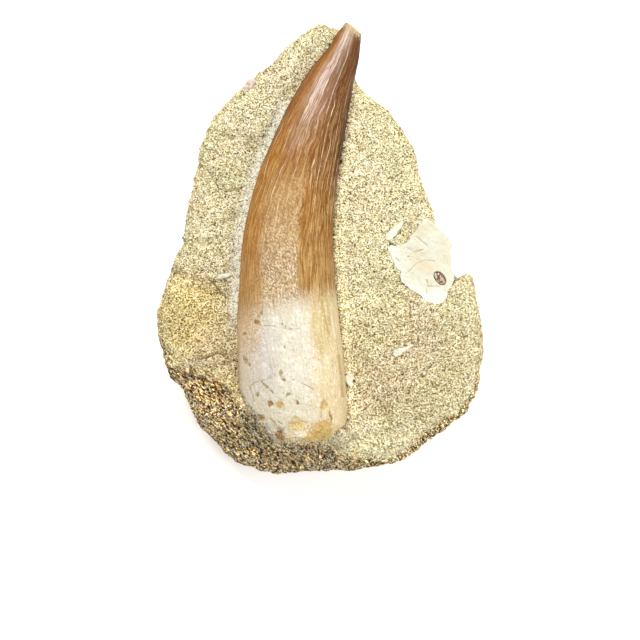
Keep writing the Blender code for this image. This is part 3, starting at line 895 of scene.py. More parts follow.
# %% Turn, stretch and tint the copies
DOWN_SLOPE = np.array([0.74, -0.67, 0.0])  # the way in which the broken slope is streaked
SUNK = 0.15  # of a grain's radius
GRAIN_COLOURS = np.array([
    (0.66, 0.61, 0.39), (0.80, 0.78, 0.62), (0.50, 0.43, 0.24), (0.48, 0.37, 0.19),
    (0.22, 0.18, 0.09), (0.10, 0.08, 0.05),
])
GRAIN_SHARES = [0.44, 0.14, 0.18, 0.06, 0.11, 0.07]
BRIGHTEST = 0.93


def turned_copies(shape, at, out, size, only_flank):
    """The vertices of one copy of the shape for each place, turned, stretched and half sunk."""
    turns, _ = np.linalg.qr(rng.normal(size=(len(at), 3, 3)))
    turns[:, :, 0] *= np.sign(np.linalg.det(turns))[:, None]
    stretch = rng.uniform(0.7, 1.15, (len(at), 1, 3))
    shapes = (shape[None] * stretch) @ turns * size[:, None, None]
    if only_flank:
        shapes += (shapes @ DOWN_SLOPE)[..., None] * DOWN_SLOPE * 1.8
    points = (shapes + (at - out * (SUNK * size)[:, None])[:, None]).reshape(-1, 3)
    points[:, 2] = np.maximum(points[:, 2], 0.0)
    return points


def grain_tints(at):
    """A colour for each grain. On the slope many are nearly black and many bright, partly painted shade
    and highlights.
    """
    kind = rng.choice(len(GRAIN_COLOURS), len(at), p=GRAIN_SHARES)
    shade = GRAIN_COLOURS[kind] * rng.uniform(0.85, 1.08, (len(at), 1))
    on_slope = on_flank(at)
    shade *= 1 + on_slope[:, None] * (0.18, 0.05, -0.08)
    chance = rng.random(len(at))
    # Painted shade and painted highlights: near-black and bright crumbs stand partly for shade and lit
    # tops.
    shade[chance < 0.40 * on_slope] *= 0.10
    shade[chance > 1 - 0.36 * on_slope] *= 2.2
    return np.clip(np.c_[shade, np.ones(len(at))], 0, BRIGHTEST)


# %% Join the copies and scatter them
IN_SQUARE = np.array([(0.2, 0.2), (0.8, 0.2), (0.5, 0.8)])  # a triangle's corners on the map


def joined(name, points, faces, tints):
    """One mesh of all the copies. On its map each grain has a small square of its own."""
    count = len(tints)
    per_copy = len(points) // count
    corner = (faces[None] + np.arange(count)[:, None, None] * per_copy).reshape(-1)
    mesh = bpy.data.meshes.new(name)
    mesh.vertices.add(len(points))
    mesh.vertices.foreach_set("co", np.asarray(points * MM, np.float32).ravel())
    mesh.loops.add(len(corner))
    mesh.loops.foreach_set("vertex_index", corner.astype(np.int32))
    mesh.polygons.add(len(corner) // 3)
    mesh.polygons.foreach_set("loop_start", np.arange(0, len(corner), 3, dtype=np.int32))
    tint = mesh.attributes.new("grain_colour", "FLOAT_COLOR", "POINT")
    tint.data.foreach_set("color", np.repeat(tints, per_copy, axis=0).astype(np.float32).ravel())
    side = math.ceil(math.sqrt(count))
    square = np.stack([np.arange(count) % side, np.arange(count) // side], axis=1)
    square = np.repeat(square, len(faces) * 3, axis=0)
    in_square = np.tile(IN_SQUARE, (len(corner) // 3, 1))
    layer = mesh.uv_layers.new(name="OFBake")
    layer.uv.foreach_set("vector", np.asarray((square + in_square) / side, np.float32).ravel())
    mesh.update(calc_edges=True)
    mesh.validate()
    made = bpy.data.objects.new(name, mesh)
    bpy.context.scene.collection.objects.link(made)
    return made


def scatter(name, source, count, smallest, largest, only_flank=False):
    """Lays turned and tinted copies of the source pebble on the rock, joined to one mesh."""
    faces = np.array([face.vertices[:] for face in source.data.polygons])
    at, out, size = places_for_grains(count, smallest, largest, only_flank)
    points = turned_copies(places(source) * MM, at, out, size, only_flank)
    return joined(name, points, faces, grain_tints(at))


bpy.ops.mesh.primitive_ico_sphere_add(subdivisions=1, radius=1)
pebble = bpy.context.object
bumpy = places(pebble) * MM
put(pebble, bumpy / MM * (1 + 0.22 * swell(bumpy, 0.8)[:, None]))
grains = [
    scatter("sand_grains_fine", pebble, 9300, 0.08, 0.16),
    scatter("sand_grains_coarse", pebble, 9300, 0.09, 0.22),
    scatter("sand_crumbs_of_flank", pebble, 7600, 0.06, 0.13, only_flank=True),
]
bpy.data.objects.remove(pebble)
print("grains", [triangles(piece) // 20 for piece in grains])

# %% [markdown]
# ## Writing materials as sums
#
# A material is a net of small nodes. This class wraps one output of a node, so that ordinary
# Python sums add the Math nodes, and 1 - mask means what it says. Every other kind of node comes
# from its node method.

# %% Shader maths
class Value:
    """One output of a shader node, or the bare tree of a material."""

    def __init__(self, tree, socket=None):
        self.tree, self.socket = tree, socket

    def node(self, kind, settings=None, sockets=None, output=0):
        """Adds a node, sets it, fills its sockets with values or links, and wraps an output."""
        added = self.tree.nodes.new(kind)
        for name, value in (settings or {}).items():
            setattr(added, name, value)
        for name, value in (sockets or {}).items():
            if isinstance(value, Value):
                self.tree.links.new(value.socket, added.inputs[name])
            else:
                added.inputs[name].default_value = value
        return Value(self.tree, added.outputs[output])

    def maths(self, operation, first, second):
        return self.node("ShaderNodeMath", {"operation": operation}, {0: first, 1: second})

    def __add__(self, other):
        return self.maths("ADD", self, other)

    def __radd__(self, other):
        return self.maths("ADD", other, self)

    def __sub__(self, other):
        return self.maths("SUBTRACT", self, other)

    def __rsub__(self, other):
        return self.maths("SUBTRACT", other, self)

    def __mul__(self, other):
        return self.maths("MULTIPLY", self, other)

    def __rmul__(self, other):
        return self.maths("MULTIPLY", other, self)


# %% Comparing and fading values
def highest(first, second):
    """The larger of two values at each place."""
    return first.maths("MAXIMUM", first, second)


def absolute(value):
    """The value without its sign."""
    return value.node("ShaderNodeMath", {"operation": "ABSOLUTE"}, {0: value})


def off_whole(value):
    """How far a value is from the nearest whole number."""
    return absolute(value - value.node("ShaderNodeMath", {"operation": "ROUND"}, {0: value}))


def fade(value, low, high):
    """0 at low, 1 at high, with a smooth slope; low may be the larger."""
    return value.node("ShaderNodeMapRange", {"interpolation_type": "SMOOTHSTEP"},
                      {"Value": value, "From Min": low, "From Max": high})


# %% Mixing colours
WHITE = (1.0, 1.0, 1.0)


def as_socket(colour):
    """A plain colour gets the fourth number that Blender wants."""
    return colour if isinstance(colour, Value) else (*colour, 1.0)


def blend(first, second, amount):
    """From the first colour to the second."""
    return amount.node("ShaderNodeMix", {"data_type": "RGBA"},
                       {0: amount, 6: as_socket(first), 7: as_socket(second)}, 2)


def paint(colour, *layers):
    """Lays colours over the first one. Each layer says its colour and how well it covers."""
    for shade, cover in layers:
        colour = blend(colour, shade, cover)
    return colour


def multiply(colour, shade):
    """A colour times a colour or a grey value."""
    return shade.node("ShaderNodeMix", {"data_type": "RGBA", "blend_type": "MULTIPLY"},
                      {0: 1.0, 6: colour, 7: shade}, 2)


def tint_by(colour, shade, amount):
    """A colour times this shade where the amount is 1, and left alone where it is 0."""
    return multiply(colour, blend(WHITE, shade, amount))


def ramp(value, *stops):
    """A colour for each value, from stops of a place and a colour."""
    made = value.node("ShaderNodeValToRGB", {}, {0: value})
    elements = made.socket.node.color_ramp.elements
    while len(elements) < len(stops):
        elements.new(0.5)
    for element, (place, colour) in zip(elements, stops, strict=True):
        element.position, element.color = place, (*colour, 1.0)
    return made


# %% [markdown]
# Every finish here is built from the same few patterns: soft noise, cells with a number of their
# own, ovals, and bent lines. Each is measured in millimetres on the piece itself, so it stays in
# place when the piece or the camera moves.

# %% Coordinates in millimetres
def start_material(name):
    """A new material with its tree, its shader and coordinates in millimetres."""
    made = bpy.data.materials.new(name)
    made.use_nodes = True
    tree = Value(made.node_tree)
    here = tree.node("ShaderNodeTexCoord", output="Object")
    here = here.node("ShaderNodeVectorMath", {"operation": "SCALE"}, {0: here, "Scale": 1 / MM})
    return made, here


def read(here, name, output="Fac"):
    """What the mesh remembers under this name."""
    return here.node("ShaderNodeAttribute", {"attribute_name": name}, {}, output)


def stretched(here, x, y, z):
    """Coordinates times these numbers, so that patterns on them get finer by as much."""
    return here.node("ShaderNodeVectorMath", {"operation": "MULTIPLY"}, {0: here, 1: (x, y, z)})


def slanted(here, degrees, longer):
    """Coordinates on which patterns are turned, and drawn out along their new direction."""
    return here.node("ShaderNodeMapping", {"vector_type": "TEXTURE"}, {
        "Vector": here, "Rotation": (0, 0, math.radians(degrees)), "Scale": (longer, 1, 1)})


def from_point(here, x, y):
    """The way from this point to each place."""
    return here.node("ShaderNodeVectorMath", {"operation": "SUBTRACT"}, {0: here, 1: (x, y, 0)})


# %% Noise, cells and ovals
def cloud(here, scale, detail=2.0, roughness=0.5):
    """Noise around 0.5, with this many swellings to the millimetre."""
    return here.node("ShaderNodeTexNoise", {}, {
        "Vector": here, "Scale": scale, "Detail": detail, "Roughness": roughness}, "Fac")


def cell_luck(here, scale):
    """A number from 0 to 1 for each cell, with this many cells to the millimetre."""
    cell = here.node("ShaderNodeTexVoronoi", {}, {"Vector": here, "Scale": scale}, "Color")
    return cell.node("ShaderNodeSeparateColor", {}, {0: cell}, 0)


def spot_at(here, x, y, wide, long):
    """0 in the middle of an oval, 1 on its edge, seen from above."""
    offset = stretched(from_point(here, x, y), 1 / wide, 1 / long, 0)
    return offset.node("ShaderNodeVectorMath", {"operation": "LENGTH"}, {0: offset}, "Value")


# %% Bent lines
def far_from(here, corners):
    """Distance to a bent line in millimetres, seen from above."""
    nearest = None
    for (ax, ay), (bx, by) in zip(corners[:-1], corners[1:], strict=True):
        run = (bx - ax, by - ay, 0.0)
        offset = stretched(from_point(here, ax, ay), 1, 1, 0)
        part = offset.node("ShaderNodeVectorMath", {"operation": "DOT_PRODUCT"},
                           {0: offset, 1: run}, "Value")
        part = part.node("ShaderNodeMath", {"operation": "MULTIPLY", "use_clamp": True},
                         {0: part, 1: 1 / (run[0] ** 2 + run[1] ** 2)})
        on_line = part.node("ShaderNodeVectorMath", {"operation": "SCALE"}, {0: run, "Scale": part})
        away = part.node("ShaderNodeVectorMath", {"operation": "DISTANCE"},
                         {0: offset, 1: on_line}, "Value")
        nearest = away if nearest is None else away.maths("MINIMUM", nearest, away)
    return nearest


def near_lines(here, lines, wide, wobble):
    """1 on any of these bent lines, 0 away from them."""
    total = None
    for corners in lines:
        thin = fade(far_from(here, corners) + wobble, wide, wide * 0.45)
        total = thin if total is None else thin.maths("MAXIMUM", total, thin)
    return total


# %% Feed the shader
def finish_material(made, colour, roughness, bump=None, depth=0.1, specular=0.5):
    """Feeds the shader. bump is a height, and depth its size in millimetres."""
    shader = made.node_tree.nodes["Principled BSDF"]
    made.node_tree.links.new(colour.socket, shader.inputs["Base Color"])
    shader.inputs["Specular IOR Level"].default_value = specular
    if isinstance(roughness, Value):
        made.node_tree.links.new(roughness.socket, shader.inputs["Roughness"])
    else:
        shader.inputs["Roughness"].default_value = roughness
    if bump is not None:
        raised = bump.node("ShaderNodeBump", {},
                           {"Height": bump, "Distance": depth * MM, "Strength": 1.0})
        made.node_tree.links.new(raised.socket, shader.inputs["Normal"])
    return made


# %% [markdown]
# ## The rock's colour
#
# Up close the rock is a mosaic: two cell patterns, one coarse and one fine, give each grain its own
# tint. Small dark gaps between the grains come from noise; they are partly dark joints and partly
# painted shade in the hollows. Over that lie broad tints that change slowly: grey-cream and ochre
# over the face, a yellow bulge at the left, a duller lower right, a brown flank with near-black and
# bright crumbs, and pale dust in the groove beside the tooth. The flank's near-black and bright
# bits are partly painted shade and painted highlights of its crumbs, and the cracks are darkened
# with painted shade. Painted light brightens the slope left of the root's end and the rock beside
# the tooth's right side, where shade falls.

# %% Tints of the rock
def broad_tints(here, lower, left):
    """The mosaic of the face with the tints that change slowly across it, and a patch of painted light.
    """
    tint = blend((0.84, 0.81, 0.55), (0.87, 0.79, 0.58), fade(cloud(here, 0.12, 3.0), 0.35, 0.65))
    tint = blend(tint, (0.72, 0.62, 0.40), fade(cloud(here, 0.45, 4.0, 0.6), 0.50, 0.72) * 0.55)
    tint = multiply(tint, ramp(
        cell_luck(here, 3.4),
        (0.0, (0.52, 0.43, 0.30)), (0.07, (0.78, 0.68, 0.48)), (0.30, (0.93, 0.90, 0.82)),
        (0.80, WHITE), (0.93, (1.06, 1.08, 1.16)), (1.0, (1.14, 1.17, 1.30))))
    tint = multiply(tint, ramp(
        cell_luck(here, 6.2),
        (0.0, (0.50, 0.44, 0.33)), (0.14, (0.86, 0.83, 0.74)), (0.50, (1.04, 1.04, 1.03)),
        (0.85, (1.08, 1.08, 1.10)), (1.0, (1.16, 1.18, 1.22))))
    yellow = 1 - fade(spot_at(here, -19.5, -9.5, 5.2, 6.5) + 0.8 * cloud(here, 0.5), 0.9, 1.6)
    # Painted light: the slope left of the root's end is brightened where the lamps leave it in shade.
    corner = fade(spot_at(here, -15.3, -22.6, 4.6, 4.2) + 0.4 * cloud(here, 0.5), 1.5, 0.8)
    for shade, amount in (((1.0, 0.90, 0.66), yellow * 0.8), ((1.0, 0.955, 0.94), lower),
                          ((0.95, 0.90, 0.84), read(here, "broken")),
                          ((1.10, 0.94, 0.80), read(here, "foot")),
                          ((1.26, 1.18, 1.06), corner), ((1.06, 1.00, 0.93), left)):
        tint = tint_by(tint, shade, amount)
    return tint


# %% Rock material
def rock_material():
    """Tints of the face and the slope, dark joints, cracks and dust, with painted shade and light, over
    a bump.
    """
    made, here = start_material("sandy_phosphate_rock")
    lower = fade(spot_at(here, 12.0, -18.0, 12.0, 10.0) + 0.5 * cloud(here, 0.5), 1.5, 0.9)
    left = fade(spot_at(here, -17.5, -12.5, 9.0, 11.0) + 0.5 * cloud(here, 0.5), 1.5, 0.8)
    foot = read(here, "foot")
    slope_here = highest(read(here, "broken"), foot)
    slope = slanted(here, -42, 3.0)
    small = cloud(here, 4.6, 2.0, 0.65)
    broad = cloud(here, 0.9, 2.0)
    long_gap = cloud(slope, 4.8, 2.0, 0.65)
    # Near-black to bright flakes: partly their own colours, partly painted crumb shade and highlights.
    flakes_and_painted_light = ramp(cell_luck(slope, 5.4), (0.0, (0.07, 0.035, 0.015)), (0.24, (0.18, 0.10, 0.05)),
                  (0.32, (0.93, 0.84, 0.72)), (0.62, (1.30, 1.21, 1.08)), (0.70, (2.45, 2.3, 2.0)))
    # Dark gaps: partly dark joints, partly painted shade in the hollows between grains and crumbs.
    on_face = fade(small + 0.14 * broad - 0.030 * lower - 0.025 * left, 0.530, 0.465)
    on_slope = fade(long_gap + 0.15 * small + 0.25 * broad, 0.685, 0.645)
    gaps_and_painted_shade = highest(on_face, on_slope * slope_here)
    gap_shade = blend((0.29, 0.245, 0.125), (0.11, 0.06, 0.025), slope_here)
    cracks = near_lines(here, [corners for corners, _ in ROCK_CRACKS], 0.26,
                        0.45 * cloud(here, 1.4, 2.0) - 0.12)
    tint = broad_tints(here, lower, left)
    for shade, amount in ((flakes_and_painted_light, slope_here * 0.95),
                          # Painted highlights: pale streaks stand for the lit tops of the slope's
                          # crumbs.
                          ((1.5, 1.5, 1.45), fade(long_gap, 0.53, 0.60) * foot),
                          (gap_shade, gaps_and_painted_shade),
                          ((0.27, 0.225, 0.13), fade(cloud(here, 5.4, 1.0), 0.37, 0.31)),
                          # Painted shade: the cracks are darkened, as they are narrower than the net can
                          # show.
                          ((0.45, 0.37, 0.28), cracks),
                          # Painted light: lighter beside the tooth's right side, where its shadow falls.
                          ((1.35, 1.33, 1.30), read(here, "beside"))):
        tint = tint_by(tint, shade, amount)
    powder = blend((0.82, 0.79, 0.60), (0.95, 0.94, 0.82), fade(cloud(here, 2.5, 3.0), 0.35, 0.60))
    tint = blend(tint, powder, read(here, "dust") * (0.92 - 0.55 * gaps_and_painted_shade))
    height = 0.5 * small + 0.25 * cloud(here, 7.0, 1.0) - 0.45 * gaps_and_painted_shade
    return finish_material(made, tint, 0.88, height, 0.16, 0.10)


rock.data.materials.clear()
rock.data.materials.append(rock_material())
rock.data.shade_smooth()
print("rock material", len(rock.data.materials[0].node_tree.nodes), "nodes")


# %% Material of the loose grains
def grain_material():
    """The grain's own colour, slightly clouded."""
    made, here = start_material("loose_sand_grains")
    clouded = blend((0.82, 0.80, 0.76), WHITE, fade(cloud(here, 6.0, 2.0), 0.35, 0.65))
    own = multiply(read(here, "grain_colour", "Color"), clouded)
    return finish_material(made, own, 0.65, cloud(here, 8.0, 2.0), 0.03, 0.15)


sandy = grain_material()
for piece in grains:
    piece.data.materials.append(sandy)
print("grain material", len(sandy.node_tree.nodes), "nodes")

# %% [markdown]
# ## The tooth's colour
#
# Crown and root share their patterns. Some run along the tooth in streaks, because enamel grows and
# wears that way, and they are laid on the ridge numbers and the length that the mesh remembers.
# Others are small bits and specks that lie aslant, as the crackled enamel does.

# %% Patterns that crown and root share
class ToothPatterns:
    """Places on the tooth, and the noise that follows its ridges."""

    def __init__(self, here):
        self.here = here
        self.x, self.y, self.z = (
            here.node("ShaderNodeSeparateXYZ", {}, {0: here}, axis) for axis in range(3))
        self.side, self.lasting, self.ridge = (read(here, name) for name in ("side", "lasting", "ridge"))
        length = read(here, "length")
        self.flow = here.node("ShaderNodeCombineXYZ", {}, {0: self.ridge, 1: length})
        self.streak = self.along(1.1, 0.16, 3.0, 0.6)
        self.fine = self.along(3.0, 0.26, 3.0, 0.65)
        self.hair = self.along(5.6, 0.42, 2.0, 0.75)
        self.speck = cloud(here, 3.6, 2.0, 0.7)
        self.crackle = cloud(here, 3.0, 4.0, 0.65)
        aslant = slanted(here, -48, 1.7)
        self.bits = cell_luck(aslant, 6.4)
        self.hatch = cloud(aslant, 5.2, 2.0, 0.7)
        self.off_crest = off_whole(self.ridge)
        self.crest = fade(self.off_crest + 0.14 * self.hair, 0.185, 0.095)

    def along(self, across, length, detail, roughness):
        """Streaky noise, with so many swellings to a ridge and to a millimetre of length."""
        return cloud(stretched(self.flow, across, length, 1), 1.0, detail, roughness)


# %% [markdown]
# The crown is caramel to chestnut brown. Towards its right edge it is nearly black, partly its own
# colour and partly painted shade on the side away from the light, and painted shade lines both its
# edges. A strip at the middle left is matt and pale, where the enamel is finely crackled; its
# paleness is partly a painted sheen. Fine light and dark lines run along the whole crown, the crests
# of the ridges are worn pale with painted shade at their feet, a painted highlight lies across the
# upper middle near the tip, and the blunt tip is sandy.

# %% Browns of the crown and its matt strip, with painted shade and painted sheen
CARAMEL, CHESTNUT, DARK_BROWN_AND_SHADE = (0.300, 0.125, 0.020), (0.235, 0.080, 0.012), (0.105, 0.030, 0.005)
# The dark brown of fine streaks, also used as painted shade beside the ridges' crests.
DARK_STREAK_AND_RIDGE_SHADE = (0.12, 0.042, 0.008)


def browns(at):
    """The browns of the crown, changing slowly around and along it, and darker to the right partly as
    painted shade.
    """
    y, side, streak = at.y, at.side, at.streak
    return paint(
        CARAMEL,
        (CHESTNUT, fade(y + 9 * streak, 8.0, 24.0)),
        # Darker towards the right edge: partly its own colour, partly painted shade on the side away
        # from the light.
        (DARK_BROWN_AND_SHADE, fade(side + 0.045 * y + 0.7 * streak, 1.00, 2.05) * 0.86),
        ((0.330, 0.128, 0.016), fade(side + 0.5 * streak, -0.15, -0.40) * 0.85),
        ((0.195, 0.065, 0.006),
         fade(side + 0.3 * streak, -0.42, -0.66) * fade(y, 14.0, 23.0) * 0.9),
        ((0.43, 0.285, 0.115), fade(y + 6 * streak, 5.0, -6.0) * 0.55))


def matt_strip_and_painted_sheen(at):
    """1 where the enamel is dull and crackled, and pale partly with a painted sheen."""
    y, side, streak, fine = at.y, at.side, at.streak, at.fine
    from_left = fade(side + 0.008 * y + 0.24 * streak + 0.26 * fine + 0.30 * at.speck, -0.37, 0.08)
    from_right = fade(side + 0.20 * fine + 0.1 * streak, 0.44, 0.32)
    return from_left * from_right * fade(y + 5 * streak, 16.0, 10.0)


# %% Colour of the crown
def crown_colour(at, tip):
    """Browns, the dull strip and its sheen, fine lines, crackle, worn crests, painted shade and
    highlight, tip.
    """
    y, side, streak, fine, hair, bits = at.y, at.side, at.streak, at.fine, at.hair, at.bits
    matt_and_painted_sheen = matt_strip_and_painted_sheen(at)
    crown = paint(
        browns(at),
        # Pale tan of the matt strip: partly the dull enamel, partly a painted sheen.
        (blend((0.49, 0.355, 0.20), (0.41, 0.235, 0.085), fade(y, -8.0, 9.0)), matt_and_painted_sheen),
        ((0.35, 0.185, 0.046),
         fade(side + 0.20 * fine, 0.28, 0.40) * fade(y + 5 * streak, 10.0, 0.0) * 0.6))
    # Painted shade: the crown's right side a little darker.
    crown = tint_by(crown, (0.93, 0.90, 0.88), fade(side, 0.2, 0.45))
    crackled = matt_and_painted_sheen * (0.22 + 0.78 * fade(y, 9.0, -5.0))
    crown = paint(
        crown,
        (DARK_STREAK_AND_RIDGE_SHADE, fade(hair, 0.49, 0.41) * (0.22 + 0.26 * fade(side, -0.2, 0.4))),
        ((0.58, 0.38, 0.15), fade(hair, 0.52, 0.62) * fade(y, 34.0, 8.0) * 0.52),
        ((0.54, 0.34, 0.12), fade(fine, 0.52, 0.62) * fade(y, 30.0, 8.0) * 0.36),
        ((0.22, 0.115, 0.045), fade(at.hatch, 0.50, 0.40) * crackled * 0.32),
        ((0.76, 0.66, 0.49), fade(at.hatch, 0.51, 0.61) * crackled * 0.26),
        ((0.20, 0.10, 0.04), fade(bits, 0.34, 0.14) * crackled * 0.55),
        ((0.80, 0.71, 0.56), fade(bits, 0.70, 0.86) * crackled * 0.45))
    crown = multiply(crown, blend((0.84, 0.82, 0.80), (1.15, 1.17, 1.20), bits))
    faint = fade(off_whole(2.0 * at.ridge + 0.8 * streak) + 0.30 * hair, 0.27, 0.15) \
        * fade(at.along(1.4, 0.35, 2.0, 0.7), 0.44, 0.60)
    beside = fade(at.off_crest, 0.42, 0.22) * at.lasting * fade(y, 4.0, 14.0)
    worn = at.crest * at.lasting * (0.30 + 0.70 * fade(at.along(0.9, 0.8, 2.0, 0.7), 0.38, 0.58))
    pale_tip_and_painted_highlight = fade(y + 3 * streak, 28.0, 35.0) * fade(side, -0.75, -0.3) * fade(side, 0.55, 0.20)
    return paint(
        crown,
        ((0.66, 0.44, 0.19), faint * (1 - matt_and_painted_sheen) * (0.30 + 0.35 * fade(side, 0.1, 0.5))),
        # Painted shade: dark beside each pale crest, along the feet of the ridges.
        (DARK_STREAK_AND_RIDGE_SHADE, beside * (1 - at.crest) * 0.50),
        ((0.86, 0.70, 0.43), worn * 0.95),
        # Paler across the middle near the tip: partly the worn tip, partly a painted highlight.
        ((0.50, 0.38, 0.22), pale_tip_and_painted_highlight * 0.50),
        # Painted shade: the right side near the tip, turned away from the light.
        ((0.115, 0.038, 0.010),
         fade(side + 0.3 * streak, 0.45, 0.80) * fade(y, 24.0, 29.0) * 0.65),
        # Painted shade along the crown's left edge, against the rock.
        ((0.10, 0.035, 0.012),
         fade(side + 0.14 * fine, -0.83, -0.90) * fade(y, 11.0, 17.0) * 0.75),
        # Painted shade: near-black along the right edge, where the crown turns down.
        ((0.05, 0.018, 0.008),
         fade(side + 0.14 * fine, 0.93, 1.01) * fade(y, 9.0, 15.0) * 0.75),
        ((0.56, 0.45, 0.26), tip * (0.55 + 0.45 * fade(at.speck, 0.40, 0.56))),
        ((0.24, 0.17, 0.08), tip * fade(bits, 0.30, 0.18) * 0.75))


# %% [markdown]
# The root is the colour of old ivory: greyish at its left, yellow at its right. Brown lines run
# down from the enamel along its right side. The pits are stained yellow, amber, rust and olive,
# each with a ragged dark outline. Fine threads, flecks and bits break up what is left, and the
# broken rim at its end is crumbly.

# %% Ivory of the root
# Each line: its corners, its colour and half its width.
ROOT_LINES = [
    ([(1.75, -10.2), (2.05, -12.8)], (0.75, 0.64, 0.47), 0.16),
    ([(2.75, -16.0), (3.05, -18.4), (3.25, -20.3), (3.35, -22.0)], (0.50, 0.30, 0.09), 0.26),
    ([(2.35, -13.4), (2.75, -16.0)], (0.56, 0.40, 0.18), 0.12),
    ([(0.15, -6.8), (0.35, -8.6), (0.75, -10.8), (1.3, -12.6)], (0.46, 0.31, 0.11), 0.22),
    ([(1.15, -8.6), (1.5, -11.4)], (0.50, 0.34, 0.13), 0.16),
    ([(-0.9, -8.0), (-0.5, -11.0)], (0.58, 0.44, 0.22), 0.14),
]


def ivory(at, grain):
    """The root without its stains and flecks."""
    here, y, side, streak, fine, edge = at.here, at.y, at.side, at.streak, at.fine, at.crackle
    grey = 1 - fade(spot_at(here, -8.3, -16.2, 2.8, 6.0) + 0.6 * grain, 0.7, 1.5)
    tan = fade(spot_at(here, -11.2, -12.2, 2.6, 3.6) + 2.6 * edge + 0.6 * at.speck, 2.85, 2.15)
    tan_shade = blend((0.62, 0.45, 0.29), (0.58, 0.39, 0.19), fade(y, -13.0, -10.0))
    tan_shade = blend(tan_shade, (0.40, 0.23, 0.10), fade(edge + 0.25 * at.speck, 0.60, 0.54) * 0.8)
    root = paint(
        (0.67, 0.63, 0.51),
        ((0.61, 0.56, 0.50), grey),
        ((0.79, 0.765, 0.68), fade(cloud(here, 0.8, 3.0), 0.52, 0.66) * 0.6),
        ((0.66, 0.55, 0.37), fade(grain, 0.50, 0.70) * 0.45),
        ((0.60, 0.475, 0.335), fade(side + 1.1 * edge, 0.15, -0.35) * fade(y, -30.0, -14.0) * 0.8),
        (tan_shade, tan * 0.75),
        ((0.70, 0.545, 0.29),
         fade(side + 0.5 * streak, 0.50, 0.90) * (0.72 + 0.26 * fade(fine, 0.40, 0.62))),
        ((0.66, 0.53, 0.32), fade(fine, 0.46, 0.66) * fade(side, -0.1, 0.5) * 0.45),
        ((0.82, 0.75, 0.62), fade(at.hair, 0.54, 0.64) * fade(side, 0.2, 0.7) * 0.38))
    root = tint_by(root, (1.0, 0.975, 0.91), fade(y + 3 * edge, -19.0, -24.0))
    warm = fade(spot_at(here, 0.4, -10.6, 1.8, 6.6) + 1.0 * streak, 1.60, 1.15) \
        * fade(y - 0.9 * at.x + edge, -18.0, -14.6)
    root = paint(
        root,
        # Painted shade along the root's left edge, where it meets the rock.
        ((0.47, 0.31, 0.14), fade(side + 0.25 * fine, -0.78, -0.90) * 0.75),
        ((0.56, 0.43, 0.20), warm * (0.35 + 0.65 * fade(fine + 0.35 * edge, 0.50, 0.85))))
    for corners, colour, wide in ROOT_LINES:
        on_line = fade(far_from(here, corners) + 0.6 * fine, wide + 0.36, wide + 0.16)
        root = blend(root, colour, on_line * 0.7)
    return root


# %% Stains of the root
# Each kind of stain: its colour, a deeper one, how well it covers, and how dark its outline is.
STAIN_COLOURS = {
    "yellow": ((0.66, 0.52, 0.25), (0.50, 0.34, 0.11), 0.92, 0.30),
    "amber": ((0.58, 0.40, 0.13), (0.44, 0.25, 0.06), 0.92, 0.50),
    "rust": ((0.40, 0.20, 0.06), (0.17, 0.065, 0.014), 0.92, 0.50),
    "olive": ((0.42, 0.34, 0.15), (0.20, 0.15, 0.06), 0.85, 0.50),
}


def stained(at, root, grain):
    """The root with its stains, and where any of them is."""
    anywhere = read(at.here, "olive")
    for kind, (colour, deeper, covers, outlined) in STAIN_COLOURS.items():
        stain = read(at.here, kind)
        anywhere = highest(anywhere, stain)
        near_it = fade(stain, 0.02, 0.25)
        amount = stain + 2.2 * at.crackle + 1.6 * at.speck - 0.15
        inside = blend(colour, deeper, fade(at.bits + 1.2 * at.speck, 1.20, 0.85) * 0.9)
        outline = fade(amount, 2.08, 2.20) * fade(amount, 2.42, 2.26) * near_it
        root = paint(
            root,
            ((0.66, 0.54, 0.34), near_it * fade(grain, 0.35, 0.60) * 0.45),
            (inside, fade(amount, 2.16, 2.42) * near_it * covers),
            ((0.30, 0.20, 0.09), outline * outlined))
    return root, anywhere


# %% Colour of the root
def root_colour(at):
    """Ivory with stains, then fine threads, flecks and bits, and the rim at the break, partly painted
    shade.
    """
    edge, speck, bits = at.crackle, at.speck, at.bits
    grain = cloud(at.here, 1.3, 4.0, 0.65)
    root, anywhere = stained(at, ivory(at, grain), grain)
    lower = fade(at.y + 3 * grain, -15.0, -20.0)
    thread = fade(absolute(edge - 0.5), 0.016, 0.003)
    root = paint(
        root,
        ((0.80, 0.70, 0.48),
         fade(spot_at(at.here, -3.0, -27.4, 1.5, 0.5) + 1.6 * edge, 1.9, 1.5) * 0.85),
        ((0.40, 0.33, 0.20), thread * fade(grain, 0.50, 0.62) * (0.25 + 0.5 * lower)),
        ((0.40, 0.34, 0.24), fade(speck + 0.5 * grain, 0.57, 0.50) * 0.7))
    root = multiply(root, blend((0.93, 0.925, 0.91), (1.06, 1.06, 1.07), bits))
    root = paint(
        root,
        ((0.42, 0.36, 0.26), fade(bits, 0.10, 0.03) * fade(grain, 0.42, 0.56) * 0.75),
        ((0.82, 0.81, 0.74), fade(bits, 0.86, 0.96) * fade(anywhere, 0.2, 0.0) * 0.5))
    root = multiply(root, blend((0.90, 0.89, 0.86), (1.04, 1.04, 1.05), fade(at.hair, 0.30, 0.70)))
    # Crumbly rim: pale crumbs and near-black bits, partly painted shade in its crevices.
    crumbly_rim_and_painted_shade = blend((0.13, 0.09, 0.06), (0.72, 0.62, 0.43), fade(at.hatch, 0.45, 0.54))
    at_rim = fade(read(at.here, "fringe") + 1.5 * edge + 0.7 * speck, 1.48, 1.66)
    return blend(root, crumbly_rim_and_painted_shade, at_rim)


# %% [markdown]
# Where the enamel ends, the brown fades in fine streaks into the root. The upper crown has kept its
# polish, which a coat gives: it shines most on the side towards the light, and it is broken up by
# the fine lines. The rest of the tooth is dull.

